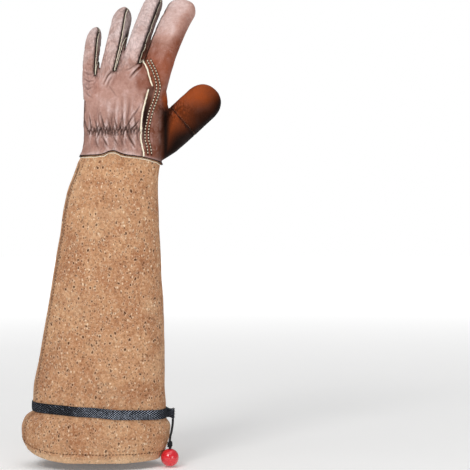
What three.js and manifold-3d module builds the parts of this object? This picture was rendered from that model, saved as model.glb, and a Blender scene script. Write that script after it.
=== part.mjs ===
// A rose pruning gauntlet for the left hand, in millimetres: +Z up along the forearm towards the
// fingertips, the back of the hand towards -Y and the thumb towards +X. The origin is the centre of
// the wrist, inside the hollow, where the wearer's wrist carries the glove.
// The leather panels are hollow walls: the hand is cut from one skin, built as an outer form less an
// inner form, into the panels that a glover would sew together.
import * as THREE from "three";
import { mergeVertices } from "three/addons/utils/BufferGeometryUtils.js";
import Module from "manifold-3d";

const wasm = await Module();
wasm.setup();

// Driving dimensions
const HAND_WALL = 1.5; // smooth leather of the hand
const CUFF_WALL = 1.8; // split suede of the cuff
const SEAM_GAP = 0.3; // clearance between pieces that are sewn together
const SLIVER = 0.14; // facets flatter than this are closed up after cutting
const WELD = 1e-3; // corners nearer than this become one
const CUFF_TUCK = 14; // how far the cuff reaches up inside the wrist hem
const TUCK_GAP = 0.55; // its clearance there, under the gathers
const CUFF_LENGTH = 325; // wrist line to the lowest point of the cuff's hem
const HEM_DEPTH = 9; // turned-up hem of the cuff, a second layer inside
const HEM_LAYER = 1.4; // thickness that the turned-up layer adds
const HEM_CORNER = 20; // how far the hem rises round the corner at the little finger's side
const HEM_CORNER_REACH = 60; // how far from that edge it begins to rise
const WELT_WIDTH = 1.8; // raw leather edge that stands up along the back seam
const WELT_HEIGHT = 1.0; // how proud it stands
const GATHER_DEPTH = 1.2; // depth of the elastic gathers on the back of the wrist
const GATHER_PITCH = 9.5; // from one gather to the next
const GATHER_HEIGHT = 27; // height of the gathered row above the wrist line
const BAND_WIDTH = 10.5; // woven elastic round the cuff
const BAND_THICKNESS = 1.8;
const BAND_ABOVE_HEM = 50.4; // from the hem up to the middle of the band
const BAND_HEIGHT = BAND_ABOVE_HEM - CUFF_LENGTH; // where it crosses x = 0
const BAND_SLOPE = -0.063; // rise of the band per millimetre of x
const BAND_SNUG = 0.2; // slack of the band over the suede
const BAND_TAIL = 9; // the two sewn ends that stand out past the cuff
const TAIL_THICKNESS = 3.6; // two layers of the elastic
const CORD_DIAMETER = 2.5; // cord that carries the bead
const CORD_SIDES = 8;
const CORD_STEPS = 12;
const BEAD_DIAMETER = 19.5;
const BEAD_BORE = 4.2;
const BORE_DEPTH = 13; // blind bore that takes the cord's end
const KNOT_DIAMETER = 5;
const KNOT_LENGTH = 8;

// Sections up the hand, from below the wrist hem to the knuckles: left and right edges, how far the back and the
// palm side stand from the middle, the middle's own y, the slope of the section towards the thumb, and
// how far the section is turned to show the thumb's side.
const HAND_SECTIONS = [
  { z: -14, left: -49, right: 46, back: 27, palm: 28, middle: 0, slope: 0, turn: 0 },
  { z: 0, left: -44.6, right: 43.5, back: 24.5, palm: 25, middle: 0, slope: 0, turn: 0 },
  { z: 7, left: -42.2, right: 44.6, back: 23.6, palm: 25, middle: 0, slope: 0, turn: 2 },
  { z: 14, left: -41, right: 45.7, back: 22.6, palm: 25, middle: 0, slope: 0, turn: 3 },
  { z: 21, left: -40.6, right: 46.6, back: 21.6, palm: 24.6, middle: -0.5, slope: 0, turn: 4 },
  { z: 27, left: -40.4, right: 47.4, back: 20.8, palm: 24.2, middle: -1, slope: 0, turn: 5 },
  { z: 33, left: -40.8, right: 49.4, back: 21, palm: 24, middle: -1.5, slope: 0.02, turn: 6 },
  { z: 41, left: -41, right: 51.4, back: 20.4, palm: 23, middle: -2, slope: 0.05, turn: 7 },
  { z: 52, left: -41, right: 51.8, back: 18.8, palm: 20.4, middle: -3, slope: 0.1, turn: 9 },
  { z: 64, left: -40.8, right: 50, back: 16.8, palm: 17, middle: -4, slope: 0.18, turn: 10 },
  { z: 76, left: -40.4, right: 47, back: 14.2, palm: 13.4, middle: -5, slope: 0.26, turn: 12 },
  { z: 86, left: -38, right: 44, back: 10.5, palm: 9.6, middle: -5, slope: 0.32, turn: 13 },
];
const DOME_RISE = 5; // rise of the closed end between the fingers
const HAND_ROUNDNESS = 2.5; // exponent of the hand's rounded sections
const HAND_POINTS = 44; // points round one section of the hand, and of the cuff inside its hem

// The wrist hem's lower edge on the back of the hand: a low peak, and a drop below the thumb.
const HEM_LINE = { peak: 5.5, peakAt: -7, peakReach: 9, crown: 1, thumbDrop: 6, palmDrop: 8 };

// Each digit's sleeve: base, middle and tip of its centreline, its width and depth, how far it is
// turned to show the side nearest the thumb, where its rounded tip begins, how much it narrows before
// that, and where the seam beside its gusset runs, as a share of its half width.
const DIGITS = {
  little: {
    points: [[-32, -3, 62], [-31.2, -5, 110], [-28.8, 27, 143.6]],
    width: 18.8, depth: 17, turn: 20, tipFrom: 0.64, narrow: 0.86, seam: 0.72,
  },
  ring: {
    points: [[-19, -4, 61], [-5, -5, 120], [1, 33, 165.6]],
    width: 21.4, depth: 19.5, turn: 20, tipFrom: 0.76, narrow: 0.96, seam: 0.68,
  },
  middle: {
    points: [[1.5, -5, 62], [20, -6, 124], [38, 36, 182.5]],
    width: 22.6, depth: 20, turn: 20, tipFrom: 0.78, narrow: 0.92, seam: 0.84,
  },
  index: {
    points: [[29, -6, 48], [44.9, -11, 111], [69.8, 23, 171.5]],
    width: 32, depth: 22, turn: 16, tipFrom: 0.89, narrow: 1, seam: 0,
  },
  thumb: {
    points: [[32, 4, 9], [69.8, 7, 42.4], [102.4, 15, 74]],
    width: 40.4, depth: 29, turn: 0, tipFrom: 0.77, narrow: 1, seam: 0,
  },
};
const DIGIT_ROOT = 0.86; // width and depth of a sleeve where it starts inside the palm
const DIGIT_ROUNDNESS = 2.6;
const DIGIT_POINTS = 14;
const DIGIT_STEPS = [0, 0.2, 0.38, 0.54]; // sections before the tip, as shares of the length
const BAR_STEPS = [0, 0.2, 0.4, 0.6, 0.8, 1]; // sections of the bars that cut the fingers' panels
const TIP_STEPS = [0, 0.4, 0.7, 0.89]; // sections round the tip, as shares of the tip

// The bounds of the fingers' strips, as shares of a finger's half width (towards the thumb) and half
// depth (towards the back): the back's strip wraps round the far side, with a gusset on either side.
const STRIP_FAR = -1.3;
const STRIP_DEEP = [0.3, 1.6];
const FAR_GUSSET = { across: [-1.3, -0.4], deep: [-0.62, 0.6] };
const NEAR_GUSSET = { across: [0.4, 1.3], deep: [-0.62, 1.3] };
const STRIP_REACH = [0.12, 1.06]; // where the strips begin and end, as shares of a finger's length
const GUSSET_REACH = [0.2, 1.02];
// Where the gaps between the fingers end in the front view, and the web that the gussets share there.
const FORKS = { little_ring: [-26.5, 86.5], ring_middle: [-4.8, 91.5], middle_index: [23.3, 98] };
const WEB = { wide: 9, deep: 5.5, tall: 10 };
const FORK_LINE = [[-60, 86], [-26.5, 86.5], [-4.8, 91.5], [23.3, 100.4]];
// The seam on the back, from the fork beside the index finger to the wrist, with a step half way.
const UPPER_SEAM = [[24.6, 103], [29.7, 94], [31.8, 86.5], [34, 79], [36.1, 73.7]];
const LOWER_SEAM = [[31.5, 71.8], [28.6, 61.9], [27, 55.5], [24.9, 46.9], [23.8, 38.3], [23.3, 27.6],
  [22.9, 19.1], [24.3, 11.6], [25.9, 4.1], [26.2, -14]];
const BACK_LIMIT = -60; // y of a plane clear of the back of the hand
const THUMB_SEAM = { at: [65.8, 8, 40], normal: [0.76, 0, 0.65] }; // plane where the thumb is set in

// Sections down the cuff: share of the way from the wrist to the band or, past 1, to the hem.
const CUFF_SECTIONS = [
  { down: 0.035, left: -47.5, right: 42.2, back: 24.2, palm: 24.8 },
  { down: 0.075, left: -51.5, right: 40.9, back: 26.4, palm: 27 },
  { down: 0.12, left: -56.4, right: 40.2, back: 29, palm: 29.4 },
  { down: 0.2, left: -61.6, right: 40.8, back: 31, palm: 31 },
  { down: 0.31, left: -66, right: 41.8, back: 32.8, palm: 33 },
  { down: 0.44, left: -72.4, right: 44, back: 34.8, palm: 35 },
  { down: 0.57, left: -78.2, right: 46, back: 37, palm: 37 },
  { down: 0.71, left: -84.6, right: 46.8, back: 39.4, palm: 39 },
  { down: 0.84, left: -90.6, right: 47.4, back: 41.8, palm: 41 },
  { down: 0.925, left: -94.4, right: 48, back: 43.2, palm: 42.4 },
  { down: 0.975, left: -95.4, right: 48.6, back: 42.8, palm: 42 },
];
const SKIRT_SECTIONS = [
  { down: 0.13, left: -95.6, right: 49, back: 42.8, palm: 42 },
  { down: 0.22, left: -101.6, right: 52.4, back: 44.4, palm: 43.6 },
  { down: 0.42, left: -106.4, right: 53, back: 46.4, palm: 45.2 },
  { down: 0.68, left: -107.6, right: 50.8, back: 47, palm: 46 },
  { down: 0.88, left: -106.6, right: 47.2, back: 46.6, palm: 45.8 },
  { down: 1, left: -104.6, right: 43.6, back: 46, palm: 45.4 },
];
const CUFF_ROUNDNESS = 2.15;
// Soft dents and swells of the suede: where round the cuff (degrees from +X, the back at 270), how far
// down, how wide and long they are, and how deep (a swell is negative).
const CUFF_FOLDS = [
  { around: 232, down: 0.9, width: 26, length: 34, depth: 1.6 },
  { around: 300, down: 0.55, width: 30, length: 60, depth: 1.4 },
  { around: 250, down: 0.32, width: 28, length: 50, depth: -1.2 },
  { around: 60, down: 0.5, width: 34, length: 70, depth: 2.2 },
  { around: 120, down: 0.75, width: 30, length: 60, depth: 1.8 },
  { around: 95, down: 0.15, width: 40, length: 30, depth: 1.6 },
];

// The cord's route from the band's tail down the cuff's edge into the bead: x, y, z.
const CORD_ROUTE = [
  [56.4, 0, -284.4], [56.3, -1.2, -288.5], [55.9, -4.5, -293], [55.1, -9, -298], [54.1, -13.4, -302.5],
  [53.8, -15, -306.5], [53.8, -15, -312], [53.8, -15, -324],
];
const BEAD_CENTRE = [53.8, -15, -324.2];
const KNOT_REST = 0.25; // clearance between the knot and the bead
const KNOT_FOOT = [BEAD_CENTRE[0], BEAD_CENTRE[1], BEAD_CENTRE[2] + BEAD_DIAMETER / 2 + KNOT_REST];

const COLOURS = { back: 0xb5897d, palm: 0x8a4b34, thumb: 0x7d3b22, side: 0x6b3a2b, welt: 0xd9c7a3,
  suede: 0xbb8d68, black: 0x16161a, red: 0xd8202c };

const radians = THREE.MathUtils.degToRad;
const vector = (point) => new THREE.Vector3(...point);

// The point of a rounded section in one direction from its centre, as distances across and out
function rounded(angle, half, deep, exponent) {
  const [across, out] = [Math.cos(angle), Math.sin(angle)];
  const reach = (Math.abs(across / half) ** exponent + Math.abs(out / deep) ** exponent) ** (-1 / exponent);
  return [reach * across, reach * out];
}

// A bell from 1 at the middle to nearly 0 one reach away
function bell(offset, reach) {
  return Math.exp(-((offset / reach) ** 2));
}

// Closes a run of rings, each a list of points, into one surface. With loop the last ring joins the
// first, as in a wall; otherwise the two ends are capped.
function loft(rings, loop = false) {
  const count = rings[0].length;
  const points = rings.flat();
  const index = [];
  const rows = loop ? rings.length : rings.length - 1;
  for (let row = 0; row < rows; row++) {
    const next = (row + 1) % rings.length;
    for (let i = 0; i < count; i++) {
      const j = (i + 1) % count;
      const [a, b, c, d] = [row * count + i, row * count + j, next * count + j, next * count + i];
      index.push(a, b, c, a, c, d);
    }
  }
  if (!loop) {
    for (const [ring, turn] of [[0, 1], [rings.length - 1, 0]]) {
      const centre = rings[ring].reduce((sum, p) => sum.add(p), new THREE.Vector3());
      points.push(centre.divideScalar(count));
      for (let i = 0; i < count; i++) {
        const pair = [ring * count + i, ring * count + ((i + 1) % count)];
        index.push(points.length - 1, pair[turn], pair[1 - turn]);
      }
    }
  }
  let volume = 0;
  for (let i = 0; i < index.length; i += 3) {
    const [a, b, c] = [points[index[i]], points[index[i + 1]], points[index[i + 2]]];
    volume += a.dot(b.clone().cross(c));
  }
  if (volume < 0) index.reverse();
  return new THREE.BufferGeometry().setFromPoints(points).setIndex(index);
}

// A closed geometry as a solid that can be cut and joined
function solid(geometry, weld = 1e-4) {
  const bare = geometry.clone();
  bare.deleteAttribute("normal");
  bare.deleteAttribute("uv");
  const merged = mergeVertices(bare, weld);
  return new wasm.Manifold(new wasm.Mesh({
    numProp: 3,
    vertProperties: new Float32Array(merged.attributes.position.array),
    triVerts: new Uint32Array(merged.index.array),
  }));
}

// The largest body of a cut, as a geometry
function largestOf(cut) {
  const mesh = cut.decompose().reduce((a, b) => (b.volume() > a.volume() ? b : a)).getMesh();
  return new THREE.BufferGeometry()
    .setAttribute("position", new THREE.BufferAttribute(new Float32Array(mesh.vertProperties), 3))
    .setIndex(new THREE.BufferAttribute(new Uint32Array(mesh.triVerts), 1));
}

// A cut as a geometry with its slivers closed up
function geometryOf(cut) {
  return largestOf(solid(largestOf(cut.simplify(SLIVER)), WELD));
}

// How deep the elastic gathers pull the back of the wrist in at one point
function gather(x, z) {
  const above = z > GATHER_HEIGHT;
  const fade = bell(z - GATHER_HEIGHT, above ? 24 : 17);
  const wave = Math.cos((2 * Math.PI * (x + 4)) / GATHER_PITCH);
  return GATHER_DEPTH * fade * (0.35 - wave) * bell(x + 8, 42);
}

// What lies below the wrist hem on the back, and on the palm's side
function belowHem() {
  const { peak, peakAt, peakReach, crown, thumbDrop, palmDrop } = HEM_LINE;
  const edge = (height) => [[-70, -60], [70, -60],
    ...Array.from({ length: 25 }, (_, i) => [60 - 5 * i, height(60 - 5 * i)])];
  const drop = (x) => Math.max(0, x / 44) ** 2;
  const back = slab(edge((x) => crown + (peak - crown) * bell(x - peakAt, peakReach)
    - (thumbDrop + crown) * drop(x)), 0);
  const palm = slab(edge((x) => -palmDrop * drop(x)), -BACK_LIMIT).translate(0, 0, 0);
  return solid(back).add(solid(palm));
}

// One ring of the hand, taken in by inset on every side
function handRing(section, inset) {
  const { left, right, back, palm, middle, slope, turn } = section;
  const half = (right - left) / 2 - inset;
  const centre = (left + right) / 2;
  const [cos, sin] = [Math.cos(radians(turn)), Math.sin(radians(turn))];
  return Array.from({ length: HAND_POINTS }, (_, i) => {
    const angle = (2 * Math.PI * i) / HAND_POINTS;
    const deep = (Math.sin(angle) < 0 ? back : palm) - inset;
    const [across, flat] = rounded(angle, half, deep, HAND_ROUNDNESS);
    const onBack = THREE.MathUtils.clamp((-2 * flat) / deep, 0, 1);
    const out = flat + onBack * gather(centre + across, section.z);
    return new THREE.Vector3(
      centre + across * cos - out * sin * 0.5,
      middle + out * cos - across * sin * 0.5,
      section.z + slope * across,
    );
  });
}

// The palm and wrist as a closed form; its first ring can be lowered, to open the wrist of a skin
function handForm(inset, lower) {
  const rings = HAND_SECTIONS.map((section) => handRing(section, inset));
  for (const point of rings[0]) point.z -= lower;
  const last = HAND_SECTIONS[HAND_SECTIONS.length - 1];
  const dome = { ...last, left: last.left + 7, right: last.right - 7, back: 6.5, palm: 5.5 };
  rings.push(handRing({ ...dome, z: last.z + DOME_RISE - inset }, inset));
  return loft(rings);
}

// A digit's centreline, through its three points
function digitLine(digit) {
  const [base, middle, tip] = digit.points.map(vector);
  const control = middle.clone().multiplyScalar(2).sub(base.clone().add(tip).multiplyScalar(0.5));
  return new THREE.QuadraticBezierCurve3(base, control, tip);
}

// Frames along a digit: its centre, its direction, the side towards the thumb and its back
function digitFrames(digit, shares) {
  const line = digitLine(digit);
  const turn = radians(digit.turn);
  const facing = new THREE.Vector3(-Math.sin(turn), -Math.cos(turn), 0);
  return shares.map((share) => {
    const inside = THREE.MathUtils.clamp(share, 0, 1);
    const along = line.getTangentAt(inside);
    const centre = line.getPointAt(inside).addScaledVector(along, (share - inside) * line.getLength());
    const back = facing.clone().addScaledVector(along, -facing.dot(along)).normalize();
    return { centre, along, side: along.clone().cross(back), back };
  });
}

// Half of a digit's width or depth at a share of its length, as a share of its full size
function digitTaper(digit, share) {
  const { tipFrom, narrow } = digit;
  const root = 1 - (1 - DIGIT_ROOT) * Math.max(0, 1 - share / DIGIT_STEPS[1]);
  if (share <= tipFrom) return root * (1 - (1 - narrow) * (share / tipFrom));
  const round = (share - tipFrom) / (1 - tipFrom);
  return narrow * Math.sqrt(Math.max(0, 1 - round ** 2.2));
}

// A digit's sleeve, taken in by inset
function digitForm(digit, inset) {
  const reach = 1 - inset / digitLine(digit).getLength();
  const shares = [
    ...DIGIT_STEPS.map((step) => step * reach),
    ...TIP_STEPS.map((step) => (digit.tipFrom + step * (1 - digit.tipFrom)) * reach),
    0.992 * reach,
  ];
  const frames = digitFrames(digit, shares);
  return loft(frames.map(({ centre, side, back }, row) => {
    const taper = digitTaper(digit, shares[row] / reach);
    const wide = Math.max(0.5, taper * digit.width / 2 - inset);
    const deep = Math.max(0.5, taper * digit.depth / 2 - inset);
    return Array.from({ length: DIGIT_POINTS }, (_, i) => {
      const [u, v] = rounded((2 * Math.PI * i) / DIGIT_POINTS, wide, deep, DIGIT_ROUNDNESS);
      return centre.clone().addScaledVector(side, u).addScaledVector(back, v);
    });
  }));
}

// A four-sided bar that runs along a digit, for cutting its panels: its reach is in shares of the
// length, and its bounds across and deep are in shares of the digit's half sizes, grown by grow.
function digitBar(digit, [from, to], { across, deep }, grow) {
  const more = grow / digitLine(digit).getLength();
  const shares = BAR_STEPS.map((step) => from - more + (to - from + 2 * more) * step);
  return solid(loft(digitFrames(digit, shares).map(({ centre, side, back }) => {
    const [low, high] = [across[0] * digit.width / 2 - grow, across[1] * digit.width / 2 + grow];
    const [front, top] = [deep[0] * digit.depth / 2 - grow, deep[1] * digit.depth / 2 + grow];
    return [[low, front], [high, front], [high, top], [low, top]].map(([u, v]) =>
      centre.clone().addScaledVector(side, u).addScaledVector(back, v));
  })));
}

// A front-view outline as a slab from the back of the hand to a depth
function slab(outline, deepest) {
  const shape = new THREE.Shape(outline.map(([x, z]) => new THREE.Vector2(x, z)));
  const geometry = new THREE.ExtrudeGeometry(shape, { depth: deepest - BACK_LIMIT, bevelEnabled: false });
  return geometry.rotateX(Math.PI / 2).translate(0, deepest, 0);
}

// A line moved sideways in the front view
function beside(line, offset) {
  return line.map(([x, z], i) => {
    const before = line[Math.max(0, i - 1)];
    const after = line[Math.min(line.length - 1, i + 1)];
    const run = new THREE.Vector2(after[0] - before[0], after[1] - before[1]).normalize();
    return [x - run.y * offset, z + run.x * offset];
  });
}

// A strip along a front-view line, for the welts and the room that they take
function strip(line, width) {
  return slab([...beside(line, width / 2), ...beside(line, -width / 2).reverse()], -4);
}

// The hand's skin, cut into its panels
function handPanels() {
  const digits = Object.values(DIGITS);
  const form = (inset, lower) => digits.reduce(
    (sum, digit) => sum.add(solid(digitForm(digit, inset))), solid(handForm(inset, lower)));
  const inner = form(HAND_WALL, 8);
  const cutAway = inner.add(belowHem());
  const skin = form(0, 0).subtract(cutAway);
  const proud = form(-WELT_HEIGHT, 0).subtract(cutAway);
  const panels = {};
  let left = skin;
  const take = (name, cutter) => {
    panels[name] = left.intersect(cutter(0));
    left = left.subtract(cutter(SEAM_GAP));
  };

  for (const [name, line] of [["seam_welt_upper", UPPER_SEAM], ["seam_welt_lower", LOWER_SEAM]]) {
    panels[name] = proud.intersect(solid(strip(line, WELT_WIDTH)));
    left = left.subtract(solid(strip(line, WELT_WIDTH + 2 * SEAM_GAP)));
  }

  take("thumb_panel", (grow) => {
    const normal = vector(THUMB_SEAM.normal).normalize();
    const block = new THREE.BoxGeometry(DIGITS.thumb.width + 5, 90, 90).translate(0, 0, 45);
    block.applyQuaternion(new THREE.Quaternion().setFromUnitVectors(new THREE.Vector3(0, 0, 1), normal));
    const start = vector(THUMB_SEAM.at).addScaledVector(normal, -grow);
    return solid(block.translate(start.x, start.y, start.z));
  });

  const seam = [...UPPER_SEAM, ...LOWER_SEAM];
  take("back_panel", (grow) => {
    const outline = [...FORK_LINE.map(([x, z]) => [x, z + grow]), ...beside(seam, grow), [-60, -14]];
    const strips = ["little", "ring", "middle"].map((name) => {
      const digit = DIGITS[name];
      const bar = digitBar(
        digit, STRIP_REACH, { across: [STRIP_FAR, digit.seam], deep: STRIP_DEEP }, grow);
      return bar.intersect(solid(digitForm(digit, -2 * WELT_HEIGHT)));
    });
    return strips.reduce((sum, bar) => sum.add(bar), solid(slab(outline, -4 + grow)));
  });

  for (const [first, second] of [["little", "ring"], ["ring", "middle"], ["middle", "index"]]) {
    take("fourchette_" + first + "_" + second, (grow) => {
      const near = digitBar(DIGITS[first], GUSSET_REACH, NEAR_GUSSET, grow);
      const [x, z] = FORKS[first + "_" + second];
      const web = new THREE.BoxGeometry(WEB.wide + 2 * grow, WEB.deep + 2 * grow, WEB.tall + 2 * grow);
      return near.add(digitBar(DIGITS[second], GUSSET_REACH, FAR_GUSSET, grow))
        .add(solid(web.translate(x, WEB.deep / 2 - 4, z)));
    });
  }
  panels.palm_panel = left;
  return panels;
}

// One ring of the cuff, taken in by inset
function cuffRing(section, z, inset) {
  const { left, right, back, palm } = section;
  const half = (right - left) / 2 - inset;
  const centre = (left + right) / 2;
  return Array.from({ length: HAND_POINTS }, (_, i) => {
    const angle = (2 * Math.PI * i) / HAND_POINTS;
    const degrees = THREE.MathUtils.radToDeg(angle);
    const dent = CUFF_FOLDS.reduce((sum, fold) => {
      const drop = z + BAND_HEIGHT * -fold.down;
      return sum + fold.depth * bell(degrees - fold.around, fold.width) * bell(drop, fold.length);
    }, 0);
    const deep = (Math.sin(angle) < 0 ? back : palm) - inset;
    const [across, out] = rounded(angle, half - dent, deep - dent, CUFF_ROUNDNESS);
    return new THREE.Vector3(centre + across, out, z);
  });
}

// The cuff's sections in order, with their heights, how far each follows the slope of the band, and how
// far it follows the hem's raised corner
function cuffSections() {
  const skirt = CUFF_LENGTH + BAND_HEIGHT;
  const upper = CUFF_SECTIONS.map((section) => (
    { ...section, z: section.down * BAND_HEIGHT, sloped: section.down ** 4, raised: 0 }));
  const lower = SKIRT_SECTIONS.map((section) => (
    { ...section, z: BAND_HEIGHT - section.down * skirt, sloped: 1 - section.down,
      raised: section.down ** 1.5 }));
  return [...upper, ...lower];
}

// A ring of the cuff with its slope and its raised corner
function cuffRow(section, inset, up = 0) {
  return cuffRing(section, section.z + up, inset).map((point) => {
    const near = (section.left + HEM_CORNER_REACH - point.x) / HEM_CORNER_REACH;
    const corner = 1 - Math.sqrt(1 - THREE.MathUtils.clamp(near, 0, 1) ** 2);
    const rise = section.sloped * BAND_SLOPE * point.x + section.raised * HEM_CORNER * corner;
    return point.setZ(point.z + rise);
  });
}

// The suede cuff: a tube whose top is tucked in the wrist hem and whose hem is a double layer
function cuff() {
  const tucked = HAND_WALL + TUCK_GAP;
  const inHem = HAND_SECTIONS.filter(({ z }) => z >= 0 && z <= CUFF_TUCK).reverse();
  const rows = cuffSections();
  const rings = (thickness) => [
    ...inHem.map((section) => handRing(section, tucked + thickness)),
    ...rows.map((section) => cuffRow(section, thickness)),
  ];
  const outer = rings(0);
  const inner = rings(CUFF_WALL).slice(0, -2);
  const rim = rows.at(-1);
  const hem = [0, HEM_DEPTH].map((up) => cuffRow(rim, CUFF_WALL + HEM_LAYER, up));
  const step = cuffRow(rim, CUFF_WALL, HEM_DEPTH + 1);
  return loft([...outer, ...hem, step, ...inner.reverse()], true);
}

// The cuff's outside at a height, moved out by a distance
function cuffAt(z, out) {
  const rows = cuffSections();
  const below = rows.findIndex((row) => row.z <= z);
  const [high, low] = [rows[below - 1], rows[below]];
  const share = (high.z - z) / (high.z - low.z);
  const mixed = Object.fromEntries(["left", "right", "back", "palm"].map((key) =>
    [key, high[key] + (low[key] - high[key]) * share]));
  return cuffRing(mixed, z, -out);
}

// The elastic round the cuff: a loop that clears the suede, whose two ends are sewn together and stand
// out beside the cuff as a doubled tail
function elasticBand() {
  const level = (ring, up) => ring.map((point) =>
    point.setZ(BAND_HEIGHT + BAND_SLOPE * point.x + up * BAND_WIDTH / 2));
  const rows = [[0, 1], [0, -1], [1, -1], [1, 1]].map(([layer, up]) => {
    const out = SEAM_GAP + BAND_SNUG + layer * BAND_THICKNESS;
    return level(cuffAt(BAND_HEIGHT, out), up);
  });
  const edge = cuffAt(BAND_HEIGHT, SEAM_GAP + BAND_SNUG + BAND_THICKNESS / 2)[0];
  const tail = new THREE.BoxGeometry(BAND_TAIL, TAIL_THICKNESS, BAND_WIDTH);
  tail.rotateY(-Math.atan(BAND_SLOPE));
  tail.translate(edge.x + BAND_TAIL / 2 - 0.4, 0, BAND_HEIGHT + BAND_SLOPE * (edge.x + BAND_TAIL / 2));
  return geometryOf(solid(loft(rows, true)).add(solid(tail)));
}

// The cord from the tail down to the bead
function togglerCord() {
  const round = Array.from({ length: CORD_SIDES }, (_, i) => {
    const angle = (2 * Math.PI * i) / CORD_SIDES;
    return new THREE.Vector2(Math.cos(angle), Math.sin(angle)).multiplyScalar(CORD_DIAMETER / 2);
  });
  const route = new THREE.CatmullRomCurve3(CORD_ROUTE.map(vector));
  return new THREE.ExtrudeGeometry(new THREE.Shape(round), {
    steps: CORD_STEPS, bevelEnabled: false, extrudePath: route,
  });
}

// The knot above the bead: a rounded collar on the cord
function knot() {
  const rise = KNOT_LENGTH;
  const bore = CORD_DIAMETER / 2 + SEAM_GAP;
  const profile = [[bore, 0], [KNOT_DIAMETER / 2, 0.8], [KNOT_DIAMETER / 2 + 0.3, rise * 0.4],
    [KNOT_DIAMETER / 2 - 0.3, rise * 0.75], [bore + 0.4, rise], [bore, rise], [bore, 0]];
  return new THREE.LatheGeometry(profile.map(([r, y]) => new THREE.Vector2(r, y)), 20);
}

// The bead, with a blind bore from its top for the cord
function bead() {
  const radius = BEAD_DIAMETER / 2;
  const ball = new THREE.SphereGeometry(radius, 24, 16);
  const bore = new THREE.CylinderGeometry(BEAD_BORE / 2, BEAD_BORE / 2, BORE_DEPTH * 2, 12);
  return geometryOf(solid(ball).subtract(solid(bore.translate(0, radius, 0))));
}

const root = new THREE.Group();

function add(name, geometry, colour, roughness = 0.6) {
  geometry.computeVertexNormals();
  const mesh = new THREE.Mesh(geometry, new THREE.MeshStandardMaterial({ color: colour, roughness }));
  mesh.name = name;
  root.add(mesh);
}

const PANEL_COLOURS = { thumb_panel: "thumb", palm_panel: "palm", back_panel: "back" };
for (const [name, cut] of Object.entries(handPanels())) {
  const colour = PANEL_COLOURS[name] ?? (name.startsWith("seam_welt") ? "welt" : "side");
  add(name, geometryOf(cut), COLOURS[colour]);
}
add("cuff", geometryOf(solid(cuff())), COLOURS.suede, 0.95);
add("elastic_band", elasticBand(), COLOURS.black, 0.9);
add("toggle_cord", togglerCord(), COLOURS.black, 0.9);
const upright = (geometry) => geometry.rotateX(Math.PI / 2);
add("cord_knot", upright(knot()).translate(...KNOT_FOOT), COLOURS.black, 0.8);
add("toggle_bead", upright(bead()).translate(...BEAD_CENTRE), COLOURS.red, 0.15);

export default root;
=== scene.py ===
"""Looks of a left-hand rose pruning gauntlet: a leather hand on a long suede cuff.

All shapes are worked out in millimetres in the part's own frame (+Z towards the fingertips, -Y out of
the back of the hand, +X towards the thumb) and written to the meshes in metres.
"""

from __future__ import annotations

import logging
import math
import random
from dataclasses import dataclass, field
from enum import Enum
from typing import Iterable, Sequence

import bmesh
import bpy
import numpy as np
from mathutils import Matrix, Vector, noise
from mathutils.bvhtree import BVHTree

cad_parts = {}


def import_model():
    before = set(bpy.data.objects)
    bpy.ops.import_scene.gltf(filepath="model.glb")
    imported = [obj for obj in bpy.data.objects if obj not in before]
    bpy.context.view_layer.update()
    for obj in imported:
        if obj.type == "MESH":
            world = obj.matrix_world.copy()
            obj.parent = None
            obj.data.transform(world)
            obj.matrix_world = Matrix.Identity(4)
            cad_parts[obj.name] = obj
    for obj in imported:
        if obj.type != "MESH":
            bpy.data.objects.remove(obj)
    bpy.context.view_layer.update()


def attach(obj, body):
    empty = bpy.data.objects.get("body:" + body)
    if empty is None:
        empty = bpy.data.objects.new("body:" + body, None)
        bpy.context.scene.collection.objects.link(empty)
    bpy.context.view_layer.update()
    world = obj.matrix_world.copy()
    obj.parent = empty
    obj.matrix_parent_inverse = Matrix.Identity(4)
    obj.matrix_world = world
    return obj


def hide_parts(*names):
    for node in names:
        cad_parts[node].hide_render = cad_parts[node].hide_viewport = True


log = logging.getLogger("gauntlet")

MM = 0.001
Array = np.ndarray
Colour = tuple[float, float, float]
Line = Sequence[Sequence[float]]
Socket = bpy.types.NodeSocket
TURN = 2 * math.pi
NOWHERE = 1e9


# Sizes shared by several pieces, in millimetres


@dataclass(frozen=True)
class Sizes:
    """Sizes that more than one piece follows."""

    hand_wall: float = 1.4
    cuff_wall: float = 1.5
    cuff_tuck: float = 14.0
    cuff_length: float = 325.0
    hem_depth: float = 9.0
    hem_corner: float = 20.0
    hem_corner_reach: float = 60.0
    band_height: float = -274.6
    band_slope: float = -0.063
    band_width: float = 10.5
    band_thickness: float = 2.4
    band_clear: float = 0.4


SIZES = Sizes()


# Helpers for numbers


def bell(offset: Array | float, reach: float) -> Array:
    """A bell from 1 at the middle to nearly 0 one reach away."""
    return np.exp(-((np.asarray(offset) / reach) ** 2))


def smoothstep(low: float, high: float, value: Array) -> Array:
    """0 below low, 1 above high, and smooth between them."""
    t = np.clip((np.asarray(value) - low) / (high - low), 0, 1)
    return t * t * (3 - 2 * t)


def rounded(angle: Array, half: Array | float, deep: Array | float, exponent: float) -> tuple[Array, Array]:
    """The point of a rounded section in one direction from its centre.

    Args:
        angle: Direction from the centre, in radians.
        half: Half of the section's width.
        deep: Half of its depth on that side.
        exponent: 2 for an ellipse, more for a squarer section.

    Returns:
        The distances across and out.
    """
    across, out = np.cos(angle), np.sin(angle)
    reach = (np.abs(across / half) ** exponent + np.abs(out / deep) ** exponent) ** (-1 / exponent)
    return reach * across, reach * out


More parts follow.
